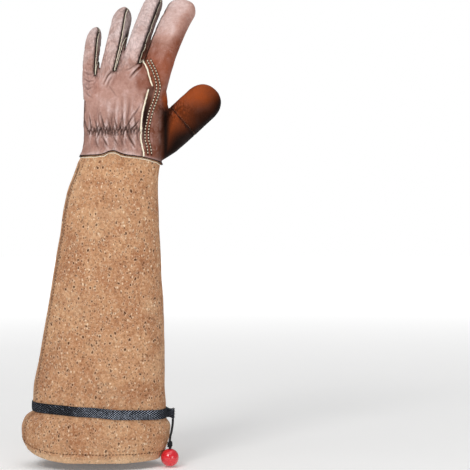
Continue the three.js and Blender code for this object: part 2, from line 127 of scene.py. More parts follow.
def hermite(knots: Array, rows: Array, at: Array) -> Array:
    """Reads a table of rows at any place, along a smooth line through them.

    Args:
        knots: Place of each row, rising.
        rows: The table, one row for each knot.
        at: Places to read.

    Returns:
        One row for each place.
    """
    slopes = np.gradient(rows, knots, axis=0)
    i = np.clip(np.searchsorted(knots, at) - 1, 0, len(knots) - 2)
    span = (knots[i + 1] - knots[i])[:, None]
    t = np.clip((at - knots[i])[:, None] / span, 0, 1)
    return (
        (2 * t**3 - 3 * t**2 + 1) * rows[i]
        + (t**3 - 2 * t**2 + t) * span * slopes[i]
        + (3 * t**2 - 2 * t**3) * rows[i + 1]
        + (t**3 - t**2) * span * slopes[i + 1]
    )


def unit(vectors: Array) -> Array:
    """A table of vectors, each made one long."""
    return vectors / np.linalg.norm(vectors, axis=1)[:, None]


def run_of(path: Array) -> Array:
    """The distance walked along a path at each of its points."""
    return np.concatenate([[0], np.cumsum(np.linalg.norm(np.diff(path, axis=0), axis=1))])


def table_of(sections: Iterable[object], *columns: str) -> Array:
    """The named numbers of some sections, one row for each."""
    return np.array([[getattr(section, column) for column in columns] for section in sections], float)


def arch(share: Array, low: float, high: float, power: float) -> Array:
    """A swell along a line, strongest in the middle and faint towards its ends."""
    return np.sin(np.clip(share, low, high) * math.pi) ** power


def leaned(across: Array, out: Array, turn: Array) -> tuple[Array, Array]:
    """A section's points turned by some degrees, half as far as a stiff section would."""
    cos, sin = np.cos(np.radians(turn)), np.sin(np.radians(turn))
    return across * cos - out * sin * 0.5, out * cos - across * sin * 0.5


def ripple(points: Array, pitch: float, seed: float = 0.0) -> Array:
    """Smooth noise between about -1 and 1 at each point.

    Args:
        points: Places in millimetres.
        pitch: Size of one swell, in millimetres.
        seed: Shifts the pattern, so that two ripples differ.

    Returns:
        One value for each point.
    """
    return np.array([noise.noise((x, y, z)) for x, y, z in points / pitch + seed * 17.3])


def line_distance(x: Array, z: Array, line: Line) -> tuple[Array, Array]:
    """Distance to a line in the front view, and how far along it the nearest place lies.

    Args:
        x: Places across.
        z: Heights.
        line: Points of the line, each x and z.

    Returns:
        The distances, and the shares of the line's length.
    """
    best = np.full(len(x), NOWHERE)
    where = np.zeros(len(x))
    lengths = [math.dist(a, b) for a, b in zip(line, line[1:])]
    total, run = sum(lengths), 0.0
    for (ax, az), (bx, bz), length in zip(line, line[1:], lengths):
        t = np.clip(((x - ax) * (bx - ax) + (z - az) * (bz - az)) / length**2, 0, 1)
        gap = np.hypot(x - ax - t * (bx - ax), z - az - t * (bz - az))
        near = gap < best
        best[near] = gap[near]
        where[near] = (run + t[near] * length) / total
        run += length
    return best, where


def polygon_field(x: Array, z: Array, outline: Line) -> Array:
    """Distance to a closed outline in the front view, negative inside it.

    Args:
        x: Places across.
        z: Heights.
        outline: Its corners, each x and z.

    Returns:
        The distances.
    """
    closed = [*outline, outline[0]]
    inside = np.zeros(len(x), bool)
    for (ax, az), (bx, bz) in zip(closed, closed[1:]):
        if az != bz:
            crosses = (az > z) != (bz > z)
            inside ^= crosses & (x < (bx - ax) * (z - az) / (bz - az) + ax)
    gap, _ = line_distance(x, z, closed)
    return np.where(inside, -gap, gap)


# Helpers for meshes


def coordinates(bm: bmesh.types.BMesh) -> Array:
    """The places of a bmesh's points."""
    return np.array([v.co for v in bm.verts], float).reshape(-1, 3)


def move_to(bm: bmesh.types.BMesh, points: Array) -> None:
    """Puts each point of a bmesh where points says, in millimetres."""
    for vert, place in zip(bm.verts, points * MM):
        vert.co = place


def sleeve(segments: int, rows: int) -> tuple[bmesh.types.BMesh, Array, Array]:
    """An open tube of even rings, ready to be shaped.

    Args:
        segments: Points round the tube.
        rows: Steps along it.

    Returns:
        The tube, and for each of its points the angle round it and the share along it.
    """
    bm = bmesh.new()
    bmesh.ops.create_cone(bm, cap_ends=False, segments=segments, radius1=1, radius2=1, depth=1)
    upright = [e for e in bm.edges if abs(e.verts[0].co.z - e.verts[1].co.z) > 0.5]
    bmesh.ops.subdivide_edges(bm, edges=upright, cuts=rows - 1)
    places = coordinates(bm)
    angle = np.arctan2(places[:, 1], places[:, 0]) % TURN
    return bm, angle, np.clip(places[:, 2] + 0.5, 0, 1)


def cap(bm: bmesh.types.BMesh) -> None:
    """Closes the open ends of a tube and turns its faces outwards."""
    bmesh.ops.edgeloop_fill(bm, edges=[e for e in bm.edges if e.is_boundary])
    bmesh.ops.recalc_face_normals(bm, faces=bm.faces)


def mesh_of(bm: bmesh.types.BMesh, name: str) -> bpy.types.Mesh:
    """Writes a bmesh to a new smooth-shaded mesh, and frees it.

    Args:
        bm: The bmesh.
        name: Name of the mesh.

    Returns:
        The mesh.
    """
    mesh = bpy.data.meshes.new(name)
    bm.to_mesh(mesh)
    bm.free()
    mesh.polygons.foreach_set("use_smooth", np.ones(len(mesh.polygons), bool))
    return mesh


def show(mesh: bpy.types.Mesh, *materials: bpy.types.Material) -> bpy.types.Object:
    """Puts a mesh in the scene under its own name, with its materials.

    Args:
        mesh: The mesh.
        *materials: Its materials, in order.

    Returns:
        The object.
    """
    obj = bpy.data.objects.new(mesh.name, mesh)
    bpy.context.scene.collection.objects.link(obj)
    for material in materials:
        mesh.materials.append(material)
    return obj


def set_value(mesh: bpy.types.Mesh, name: str, values: Array) -> None:
    """Stores one number for each point of a mesh, for its material to read."""
    layer = mesh.attributes.new(name, "FLOAT", "POINT")
    layer.data.foreach_set("value", np.asarray(values, np.float32))


def points_of(mesh: bpy.types.Mesh) -> Array:
    """The places of a mesh's points, in millimetres.

    Args:
        mesh: The mesh.

    Returns:
        One row for each point.
    """
    flat = np.empty(len(mesh.vertices) * 3, np.float32)
    mesh.vertices.foreach_get("co", flat)
    return flat.reshape(-1, 3).astype(float) / MM


def normals_of(mesh: bpy.types.Mesh) -> Array:
    """The outward direction at each of a mesh's points.

    Args:
        mesh: The mesh.

    Returns:
        One row for each point.
    """
    flat = np.empty(len(mesh.vertices) * 3, np.float32)
    mesh.vertex_normals.foreach_get("vector", flat)
    return flat.reshape(-1, 3).astype(float)


def evaluated(obj: bpy.types.Object, name: str) -> bpy.types.Mesh:
    """The mesh of an object with its modifiers applied. The object itself is removed.

    Args:
        obj: The object.
        name: Name of the mesh.

    Returns:
        The new mesh.
    """
    graph = bpy.context.evaluated_depsgraph_get()
    mesh = bpy.data.meshes.new_from_object(obj.evaluated_get(graph))
    mesh.name = name
    bpy.data.objects.remove(obj)
    return mesh


def add_wall(obj: bpy.types.Object, thickness: float, lining: int = 0) -> None:
    """Gives a skin a wall inwards, in millimetres, whose inner side has the material lining places on.

    Args:
        obj: The object.
        thickness: Thickness in millimetres.
        lining: How many places on in the list of materials the inner side's stands.
    """
    wall = obj.modifiers.new("wall", "SOLIDIFY")
    wall.thickness = thickness * MM
    wall.offset = -1
    wall.use_rim = True
    wall.material_offset = lining
    wall.material_offset_rim = 0


def joined(parts: Iterable[bpy.types.Mesh], name: str) -> bpy.types.Mesh:
    """Some meshes as one. The parts are removed.

    Args:
        parts: The meshes.
        name: Name of the mesh.

    Returns:
        The mesh.
    """
    whole = bmesh.new()
    for part in parts:
        whole.from_mesh(part)
        bpy.data.meshes.remove(part)
    return mesh_of(whole, name)


def nearest(tree: BVHTree, path: Array) -> tuple[Array, Array]:
    """The places of a surface nearest to a path, in millimetres, and its outward directions there."""
    hits = [tree.find_nearest(Vector(place) * MM) for place in path]
    return np.array([hit[0] / MM for hit in hits]), np.array([hit[1] for hit in hits])


def finish_piece(obj: bpy.types.Object, slot: str | None = None, nodes: Iterable[str] = ()) -> None:
    """Rides a piece on the body, hides the CAD nodes that it stands for, and reports it.

    Args:
        obj: The object.
        slot: Not used.
        nodes: The CAD nodes that it stands for.
    """
    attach(obj, "root")
    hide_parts(*nodes)
    log.info("%s: %d faces", obj.name, len(obj.data.polygons))


def frames_along(path: Array) -> tuple[Array, Array, Array]:
    """Directions along a path and two directions square to it that don't twist.

    Args:
        path: The points of the path.

    Returns:
        The path's direction, and the two other directions, at each point.
    """
    along = unit(np.gradient(path, axis=0))
    first = np.zeros_like(path)
    side = np.array([0, -1.0, 0.2]) if abs(along[0][1]) < 0.8 else np.array([1.0, 0, 0])
    for i, ahead in enumerate(along):
        side = side - ahead * side.dot(ahead)
        side /= np.linalg.norm(side)
        first[i] = side
    return along, first, np.cross(along, first)


def repeated(form: bmesh.types.BMesh, count: int, name: str) -> bpy.types.Mesh:
    """Many copies of a small form in one mesh, one after another.

    Args:
        form: The form. It is freed.
        count: How many copies.
        name: Name of the mesh.

    Returns:
        The mesh.
    """
    block = mesh_of(form, "block")
    whole = bmesh.new()
    while count:
        if count & 1:
            whole.from_mesh(block)
        count >>= 1
        double = bmesh.new()
        double.from_mesh(block)
        double.from_mesh(block)
        bpy.data.meshes.remove(block)
        block = mesh_of(double, "block")
    bpy.data.meshes.remove(block)
    return mesh_of(whole, name)


def thread_tube(path: Array, radius: float, segments: int, name: str) -> bpy.types.Mesh:
    """A closed tube along a path, with a UV map of the turns round it and the millimetres along it.

    Args:
        path: Points of the path, in millimetres.
        radius: Radius of the tube.
        segments: Points round it.
        name: Name of the mesh.

    Returns:
        The mesh.
    """
    rows = len(path) - 1
    bm, angle, share = sleeve(segments, rows)
    _, first, second = frames_along(path)
    row = np.rint(share * rows).astype(int)
    around = np.cos(angle)[:, None] * first[row] + np.sin(angle)[:, None] * second[row]
    move_to(bm, path[row] + around * radius)
    wrap_uv(bm, angle / TURN, run_of(path)[row])
    cap(bm)
    return mesh_of(bm, name)


def wrap_uv(bm: bmesh.types.BMesh, turns: Array, along: Array) -> None:
    """Gives a tube a UV map without a smear where it closes on itself.

    Args:
        bm: The tube.
        turns: Share of a turn at each point.
        along: Millimetres along the tube at each point.
    """
    layer = bm.loops.layers.uv.new("UVMap")
    bm.verts.index_update()
    for face in bm.faces:
        here = [turns[loop.vert.index] for loop in face.loops]
        wraps = max(here) - min(here) > 0.5
        for loop, turn in zip(face.loops, here):
            loop[layer].uv = (turn + (1.0 if wraps and turn < 0.5 else 0.0), along[loop.vert.index])


def flat_uv(bm: bmesh.types.BMesh, across: Array, along: Array) -> None:
    """Gives each point of a form its own place on a UV map.

    Args:
        bm: The bmesh.
        across: First coordinate of each point.
        along: Second coordinate of each point.
    """
    layer = bm.loops.layers.uv.new("UVMap")
    bm.verts.index_update()
    for face in bm.faces:
        for loop in face.loops:
            loop[layer].uv = (across[loop.vert.index], along[loop.vert.index])


# Materials


def srgb(red: int, green: int, blue: int) -> Colour:
    """A screen colour as the linear colour that a shader takes."""
    shares = (red / 255, green / 255, blue / 255)
    return tuple(c / 12.92 if c <= 0.04045 else ((c + 0.055) / 1.055) ** 2.4 for c in shares)


class Nodes:
    """A material's node tree, built link by link."""

    def __init__(self, name: str) -> None:
        """Starts a material with a bare shader.

        Args:
            name: Name of the material.
        """
        self.material = bpy.data.materials.new(name)
        self.material.use_nodes = True
        self.tree = self.material.node_tree
        self.shader = self.tree.nodes["Principled BSDF"]
        self.place = self.tree.nodes.new("ShaderNodeTexCoord").outputs["Object"]

    def node(
        self, kind: str, inputs: dict[str | int, object] | None = None, **settings: object
    ) -> bpy.types.Node:
        """Adds a node.

        Args:
            kind: Blender's name of the node type.
            inputs: Values or sockets for its inputs.
            **settings: Its other settings.

        Returns:
            The node.
        """
        made = self.tree.nodes.new(kind)
        for key, value in settings.items():
            setattr(made, key, value)
        for key, value in (inputs or {}).items():
            if isinstance(value, Socket):
                self.tree.links.new(value, made.inputs[key])
            else:
                made.inputs[key].default_value = value
        return made

    def noise(
        self, scale: float, detail: float = 4.0, roughness: float = 0.55, place: Socket | None = None,
        distortion: float = 0.0,
    ) -> Socket:
        """The factor of a noise texture, scale in swells for each metre."""
        inputs = {"Vector": place or self.place, "Scale": scale, "Detail": detail, "Roughness": roughness}
        return self.node("ShaderNodeTexNoise", {**inputs, "Distortion": distortion}).outputs["Fac"]

    def cells(self, scale: float, feature: str = "F1", place: Socket | None = None) -> bpy.types.Node:
        """A cell texture's node."""
        inputs = {"Vector": place or self.place, "Scale": scale, "Randomness": 1.0}
        return self.node("ShaderNodeTexVoronoi", inputs, feature=feature)

    def vector(self, operation: str, first: Socket, second: Socket | Colour) -> Socket:
        """The result of a sum on two vectors."""
        return self.node("ShaderNodeVectorMath", {0: first, 1: second}, operation=operation).outputs[0]

    def warped(self, scale: float, reach: float) -> Socket:
        """Object coordinates pushed about by noise, reach in metres."""
        swirl = self.node("ShaderNodeTexNoise", {"Vector": self.place, "Scale": scale}).outputs["Color"]
        return self.vector("ADD", self.place, self.vector("MULTIPLY", swirl, (reach,) * 3))

    def stretched(self, scale: float, reach: float, upright: float) -> Socket:
        """Warped coordinates with their height scaled, less than 1 for upright forms."""
        return self.vector("MULTIPLY", self.warped(scale, reach), (1.0, 1.0, upright))

    def parts(self, place: Socket) -> bpy.types.NodeOutputs:
        """The three numbers of a vector."""
        return self.node("ShaderNodeSeparateXYZ", {"Vector": place}).outputs

    def ramp(
        self, value: Socket, low: float, high: float, start: float = 0.0, end: float = 1.0
    ) -> Socket:
        """Maps a value from low and high to start and end, without passing them."""
        inputs = {"Value": value, "From Min": low, "From Max": high, "To Min": start, "To Max": end}
        return self.node("ShaderNodeMapRange", inputs).outputs["Result"]

    def maths(self, operation: str, first: Socket | float, second: Socket | float = 0.0) -> Socket:
        """The result of a sum on two numbers."""
        return self.node("ShaderNodeMath", {0: first, 1: second}, operation=operation).outputs[0]

    def plus(self, first: Socket | float, second: Socket | float) -> Socket:
        """The sum of two numbers."""
        return self.maths("ADD", first, second)

    def minus(self, first: Socket | float, second: Socket | float) -> Socket:
        """The first number less the second."""
        return self.maths("SUBTRACT", first, second)

    def times(self, first: Socket | float, second: Socket | float) -> Socket:
        """The product of two numbers."""
        return self.maths("MULTIPLY", first, second)

    def mix(
        self, share: Socket | float, first: Socket | Colour, second: Socket | Colour, blend: str = "MIX"
    ) -> Socket:
        """A colour between two others.

        Args:
            share: 0 for the first colour, 1 for the second.
            first: The first colour.
            second: The second colour.
            blend: How they are combined.

        Returns:
            The mixed colour.
        """
        made = self.node("ShaderNodeMix", data_type="RGBA", blend_type=blend)
        for index, value in ((0, share), (6, first), (7, second)):
            if isinstance(value, Socket):
                self.tree.links.new(value, made.inputs[index])
            else:
                made.inputs[index].default_value = value if index == 0 else (*value, 1.0)
        return made.outputs[2]

    def attribute(self, name: str) -> Socket:
        """A number stored on the piece."""
        return self.node("ShaderNodeAttribute", attribute_name=name).outputs["Fac"]

    def bump(self, height: Socket, strength: float, distance: float, under: Socket | None = None) -> Socket:
        """A normal bent by a height, distance in metres.

        Args:
            height: Socket of the height.
            strength: How strongly it bends the normal, from 0 to 1.
            distance: Depth of the whole height, in metres.
            under: A bent normal to start from.

        Returns:
            The bent normal.
        """
        inputs = {"Height": height, "Strength": strength, "Distance": distance}
        if under is not None:
            inputs["Normal"] = under
        return self.node("ShaderNodeBump", inputs).outputs["Normal"]

    def finish(
        self, colour: Socket, roughness: Socket | float, normal: Socket | None, constants: dict[str, object]
    ) -> bpy.types.Material:
        """Joins the last sockets to the shader.

        Args:
            colour: Socket of the base colour.
            roughness: Socket or number.
            normal: Socket of the bent normal.
            constants: Values of other sockets of the shader, by their names.

        Returns:
            The material.
        """
        for key, value in {"Base Color": colour, "Roughness": roughness, "Normal": normal, **constants}.items():
            if isinstance(value, Socket):
                self.tree.links.new(value, self.shader.inputs[key])
            elif value is not None:
                self.shader.inputs[key].default_value = value
        return self.material


@dataclass(frozen=True)
class GrainLeather:
    """Smooth grain leather, unevenly toned: satin, finely pebbled, with painted shade in its folds and paler
    ridges that are partly wear and partly painted highlight.
    """

    name: str
    roughness: float = 0.55
    shade: float = 1.0
    gloss: float = 0.22
    pale: Colour = srgb(230, 208, 205)
    body: Colour = srgb(186, 146, 134)
    brown: Colour = srgb(128, 76, 58)
    rust: Colour = srgb(164, 75, 29)
    # deep is painted shade on the thumb's underside and heel; fold is painted shade in creases, seams and
    # puckers.
    deep: Colour = srgb(20, 6, 2)
    fold: Colour = srgb(34, 17, 12)

    def material(self) -> bpy.types.Material:
        """Builds the material. It reads the piece's zone, rust, deep, crease, wear_and_highlight and pucker;
        deep, crease and pucker paint shade, and the pale ends of zone and wear_and_highlight are partly painted
        highlight.

        Returns:
            The material.
        """
        n = Nodes(self.name)
        clouds = n.ramp(n.noise(55, 6, 0.62, distortion=0.4), 0.34, 0.66, -0.17, 0.17)
        zone = n.plus(n.attribute("zone"), clouds)
        # The pale end of zone is partly painted highlight.
        colour = n.mix(n.ramp(zone, 0.0, 0.5), self.pale, self.body)
        colour = n.mix(n.ramp(zone, 0.5, 1.0), colour, self.brown)
        warm = n.mix(n.ramp(n.noise(48, 5, 0.6), 0.36, 0.66, 0.0, 0.35), self.rust, self.brown)
        colour = n.mix(n.attribute("rust"), colour, warm)
        # Painted shade on the thumb's underside and heel.
        colour = n.mix(n.attribute("deep"), colour, self.deep)
        light = n.minus(1.0, n.maths("MAXIMUM", n.attribute("rust"), n.attribute("deep")))
        flecks = n.ramp(n.noise(330, 5, 0.72), 0.42, 0.7, 0.0, 0.3)
        colour = n.mix(n.times(flecks, light), colour, self.brown)
        lint = n.ramp(n.noise(240, 3, 0.6, distortion=0.8), 0.6, 0.75, 0.0, 0.3)
        colour = n.mix(n.times(lint, light), colour, self.pale)
        # Paler on ridges: partly wear, partly painted highlight.
        worn = n.times(n.attribute("wear_and_highlight"), n.plus(n.times(light, 0.72), 0.08))
        colour = n.mix(worn, colour, self.pale)
        drawn = n.noise(330, 3, 0.6, place=n.stretched(90.0, 0.005, 0.42), distortion=0.5)
        ridge = n.maths("ABSOLUTE", n.ramp(drawn, 0.25, 0.75, -1.0, 1.0))
        puckers = n.times(n.minus(1.0, n.ramp(ridge, 0.0, 0.26)), n.attribute("pucker"))
        # Painted shade in the puckers' valleys, then in the folds, seams and stitch rows.
        colour = n.mix(n.times(puckers, 0.6), colour, self.fold)
        colour = n.mix(n.attribute("crease"), colour, self.fold)
        # The gussets' darker copy: painted shade between the fingers.
        if self.shade != 1.0:
            colour = n.mix(1.0, colour, (self.shade,) * 3, "MULTIPLY")
        pebble = n.ramp(n.cells(820, "SMOOTH_F1").outputs["Distance"], 0.0, 0.75)
        lines = n.ramp(n.noise(430, 6, 0.65, distortion=1.2), 0.35, 0.6)
        creased = n.cells(190, "DISTANCE_TO_EDGE", place=n.warped(70.0, 0.006)).outputs["Distance"]
        fine = n.ramp(creased, 0.0, 0.13)
        relief = n.plus(n.times(pebble, -0.7), n.times(lines, 0.5))
        normal = n.bump(relief, 0.4, 0.0004)
        normal = n.bump(fine, 0.3, 0.0004, normal)
        normal = n.bump(n.minus(1.0, puckers), 0.8, 0.0012, normal)
        rough = n.ramp(n.noise(150, 5, 0.6), 0.3, 0.7, self.roughness - 0.08, self.roughness + 0.12)
        return n.finish(colour, rough, normal, {"Specular IOR Level": self.gloss})


@dataclass(frozen=True)
class SplitSuede:
    """Split suede: matt, napped, mottled tan with open pores."""

    name: str
    body: Colour
    pale: Colour
    brown: Colour
    pore: Colour
    fleck: Colour = srgb(244, 222, 192)
    worn: Colour = srgb(232, 204, 168)

    def pores(
        self, n: Nodes, scale: float, channel: int, rare: float, most: float, soft: float
    ) -> tuple[Socket, Socket]:
        """Scattered round spots, 1 inside them, and the thin rim round each.

        Args:
            n: The material's nodes.
            scale: Cells for each metre, one spot in each at most.
            channel: Which random number of the cell sets the spot's size.
            rare: Share of the cells without a spot.
            most: Radius of the largest spot, as a share of the cell.
            soft: Width of a spot's edge, as a share of the cell.

        Returns:
            The sockets of the spots and of their rims.
        """
        spots = n.cells(scale, place=n.stretched(110.0, 0.004, 0.72))
        chance = n.node("ShaderNodeSeparateColor", {"Color": spots.outputs["Color"]}).outputs[channel]
        size = n.ramp(chance, rare, 1.0, -0.05, most)
        depth = n.minus(size, spots.outputs["Distance"])
        rim = n.times(n.ramp(depth, -3.2 * soft, -1.2 * soft), n.ramp(depth, 0.0, -soft))
        return n.ramp(depth, -soft, soft), rim

    def material(self) -> bpy.types.Material:
        """Builds the material. It reads the piece's crease, which paints shade, and wear_and_highlight, which
        is partly wear and partly painted highlight.

        Returns:
            The material.
        """
        n = Nodes(self.name)
        patches = n.ramp(n.noise(20, 7, 0.66, distortion=0.8), 0.38, 0.62)
        ruddy = n.ramp(n.noise(34, 6, 0.6, distortion=0.5), 0.46, 0.68)
        nap = n.noise(400, 8, 0.78)
        tufts = n.noise(170, 5, 0.7, distortion=0.6)
        colour = n.mix(patches, self.body, self.pale)
        colour = n.mix(n.times(ruddy, 0.55), colour, self.brown)
        colour = n.mix(n.ramp(tufts, 0.34, 0.5, 0.6, 0.0), colour, self.brown)
        colour = n.mix(n.ramp(tufts, 0.52, 0.68, 0.0, 0.4), colour, self.pale)
        colour = n.mix(n.ramp(nap, 0.34, 0.5, 0.6, 0.0), colour, self.pore)
        colour = n.mix(n.ramp(nap, 0.54, 0.7, 0.0, 0.55), colour, self.fleck)
        large, large_rim = self.pores(n, 200, 0, -0.9, 0.22, 0.06)
        small, small_rim = self.pores(n, 350, 1, -0.6, 0.34, 0.09)
        white, _ = self.pores(n, 360, 2, 0.35, 0.34, 0.09)
        colour = n.mix(n.times(small_rim, 0.12), colour, self.fleck)
        colour = n.mix(n.times(large_rim, 0.28), colour, self.fleck)
        colour = n.mix(n.times(white, 0.6), colour, self.fleck)
        colour = n.mix(n.times(small, 0.6), colour, self.pore)
        colour = n.mix(n.times(large, 0.88), colour, self.pore)
        # Paler where wear_and_highlight marks wear and painted highlight; darker where crease marks painted
        # shade.
        colour = n.mix(n.attribute("wear_and_highlight"), colour, self.worn)
        colour = n.mix(n.attribute("crease"), colour, tuple(c * 0.45 for c in self.pore))
        height = n.plus(n.times(nap, 0.8), n.times(n.noise(1700, 4, 0.7), 0.5))
        height = n.minus(height, n.times(large, 0.8))
        normal = n.bump(height, 0.6, 0.0006)
        return n.finish(colour, 0.95, normal, {
            "Specular IOR Level": 0.12, "Sheen Weight": 0.04, "Sheen Roughness": 0.5})


@dataclass(frozen=True)
class WovenElastic:
    """Black woven elastic: ribs across, with paler rubber threads showing where it is stretched."""

    name: str
    yarn: Colour
    rubber: Colour
    rib_pitch: float = 2.7
    row_pitch: float = 2.3

    def material(self) -> bpy.types.Material:
        """Builds the material on the piece's UV map, which is in millimetres.

        Returns:
            The material.
        """
        n = Nodes(self.name)
        place = n.node("ShaderNodeUVMap", uv_map="UVMap").outputs["UV"]
        parts = n.parts(place)
        ribs = n.maths("SINE", n.times(parts[0], TURN / self.rib_pitch))
        rows = n.maths("SINE", n.times(parts[1], TURN / self.row_pitch))
        weave = n.plus(n.times(ribs, rows), n.ramp(n.noise(900, 3), 0.3, 0.7, -0.5, 0.5))
        along = n.parts(n.place)[0]
        worn = n.times(n.ramp(along, -0.055, -0.01), n.ramp(along, 0.048, 0.034))
        patches = n.ramp(n.noise(60, 5, 0.6), 0.32, 0.54, 0.3, 1.0)
        rub = n.times(patches, n.ramp(worn, 0.0, 1.0, 0.2, 1.0))
        shine = n.times(n.ramp(weave, 0.2, 0.62), rub)
        lint = n.ramp(n.noise(620, 3, 0.6), 0.63, 0.7)
        colour = n.mix(n.times(shine, 0.85), self.yarn, self.rubber)
        colour = n.mix(n.times(lint, 0.6), colour, self.rubber)
        normal = n.bump(n.plus(weave, n.times(n.noise(2400, 3), 0.6)), 0.7, 0.00025)
        return n.finish(colour, 0.85, normal, {"Specular IOR Level": 0.08})


@dataclass(frozen=True)
class TwistedThread:
    """Thread or cord: matt fibre with a twist across its length."""

    name: str
    fibre: Colour
    shade: Colour
    twist: float = 0.9
    fuzz: float = 0.3

    def material(self) -> bpy.types.Material:
        """Builds the material on Object coordinates.

        Returns:
            The material.
        """
        n = Nodes(self.name)
        parts, turns = n.parts(n.place), TURN / (self.twist * MM)
        slant = n.plus(n.times(parts[2], turns), n.times(parts[0], turns * 0.8))
        ply = n.ramp(n.maths("SINE", slant), -1.0, 0.4)
        fibre = n.noise(3000, 3, 0.6)
        colour = n.mix(ply, self.shade, self.fibre)
        colour = n.mix(n.ramp(fibre, 0.4, 0.7, 0.0, self.fuzz), colour, self.shade)
        normal = n.bump(n.plus(ply, fibre), 0.5, 0.0002)
        return n.finish(colour, 0.75, normal, {
            "Specular IOR Level": 0.3, "Sheen Weight": 0.03, "Sheen Roughness": 0.5})


@dataclass(frozen=True)
class GlossBead:
    """Turned bead under a thick gloss lacquer."""

    name: str
    body: Colour
    deep: Colour

    def material(self) -> bpy.types.Material:
        """Builds the material on Object coordinates.

        Returns:
            The material.
        """
        n = Nodes(self.name)
        cloud = n.ramp(n.noise(80, 4, 0.5), 0.35, 0.7)
        colour = n.mix(n.times(cloud, 0.3), self.body, self.deep)
        normal = n.bump(n.noise(200, 3, 0.5), 0.03, 0.0003)
        rough = n.ramp(n.noise(700, 4, 0.6), 0.4, 0.75, 0.2, 0.26)
        return n.finish(colour, rough, normal, {
            "Coat Weight": 0.8, "Coat Roughness": 0.05, "Specular IOR Level": 0.5})


@dataclass(frozen=True)
class RawEdge:
    """The cut edge and flesh side of the leather: pale, fibrous and matt."""

    name: str
    body: Colour
    shade: Colour

    def material(self) -> bpy.types.Material:
        """Builds the material on Object coordinates.

        Returns:
            The material.
        """
        n = Nodes(self.name)
        fibre = n.noise(900, 6, 0.7)
        blotch = n.noise(110, 4, 0.6)
        colour = n.mix(n.ramp(fibre, 0.4, 0.7), self.body, self.shade)
        colour = n.mix(n.ramp(blotch, 0.45, 0.7, 0.0, 0.5), colour, self.shade)
        normal = n.bump(fibre, 0.6, 0.0004)
        return n.finish(colour, 0.9, normal, {
            "Specular IOR Level": 0.2, "Sheen Weight": 0.04, "Sheen Roughness": 0.6})


class Finish(Enum):
    """The finishes of the gauntlet's pieces."""

    BACK = GrainLeather("grain_back")
    PALM = GrainLeather("grain_palm", 0.56, gloss=0.07)
    THUMB = GrainLeather("grain_thumb", 0.5, gloss=0.05)
    # The gussets are a darker copy of the leather: painted shade between the fingers.
    GUSSET = GrainLeather("grain_gusset", 0.6, 0.6)
    FLESH = RawEdge("flesh_side", srgb(196, 162, 128), srgb(150, 112, 82))
    EDGE = RawEdge("raw_edge_fibre", srgb(252, 246, 228), srgb(224, 206, 172))
    SUEDE = SplitSuede(
        "split_suede", srgb(185, 134, 97), srgb(202, 155, 116), srgb(154, 98, 65), srgb(70, 38, 22))
    ELASTIC = WovenElastic("woven_elastic", srgb(15, 16, 20), srgb(190, 200, 218))
    CORD = TwistedThread("twisted_cord", srgb(30, 30, 34), srgb(8, 8, 10), 1.3)
    # A dark, matt finish for tubes put where there is only shade: in the seams' gaps, under the hand's hem and
    # in the stitch holes (painted shade).
    PAINTED_SHADE_LINE = RawEdge("painted_shade_line", srgb(38, 22, 16), srgb(16, 9, 6))
    SEAM_THREAD = TwistedThread("seam_thread", srgb(246, 236, 214), srgb(196, 174, 140), 0.8)
    BROWN_THREAD = TwistedThread("brown_thread", srgb(128, 96, 76), srgb(70, 46, 34), 0.8)
    HEM_THREAD = TwistedThread("hem_thread", srgb(104, 66, 40), srgb(56, 32, 18), 0.8)
    BEAD = GlossBead("bead_lacquer", srgb(226, 30, 48), srgb(176, 14, 28))

    def material(self) -> bpy.types.Material:
        """The finish's material, made once."""
        return bpy.data.materials.get(self.value.name) or self.value.material()


# The hand


@dataclass(frozen=True)
class HandSection:
    """One section up the hand, in millimetres and degrees."""

    z: float
    left: float
    right: float
    back: float
    palm: float
    middle: float
    slope: float
    turn: float


HAND_SECTIONS = (
    HandSection(-14, -49, 46, 27, 28, 0, 0, 0),
    HandSection(0, -44.6, 43.5, 24.5, 25, 0, 0, 0),
    HandSection(7, -42.2, 44.6, 23.6, 25, 0, 0, 2),
    HandSection(14, -41, 45.7, 22.6, 25, 0, 0, 3),
    HandSection(21, -40.6, 46.6, 21.6, 24.6, -0.5, 0, 4),
    HandSection(27, -40.4, 47.4, 20.8, 24.2, -1, 0, 5),
    HandSection(33, -40.8, 49.4, 21, 24, -1.5, 0.02, 6),
    HandSection(41, -41, 51.4, 20.4, 23, -2, 0.05, 7),
    HandSection(52, -41, 51.8, 18.8, 20.4, -3, 0.1, 9),
    HandSection(64, -40.8, 50, 16.8, 17, -4, 0.18, 10),
    HandSection(76, -40.4, 47, 14.2, 13.4, -5, 0.26, 12),
    HandSection(86, -38, 44, 10.5, 9.6, -5, 0.32, 13),
    HandSection(91, -31, 37, 6.5, 5.5, -5, 0.32, 13),
)
HAND_ROUNDNESS = 2.5
DIGIT_ROUNDNESS = 2.6
# Height of the row on the wrist that the elastic gathers
GATHER_ROW = 27.0


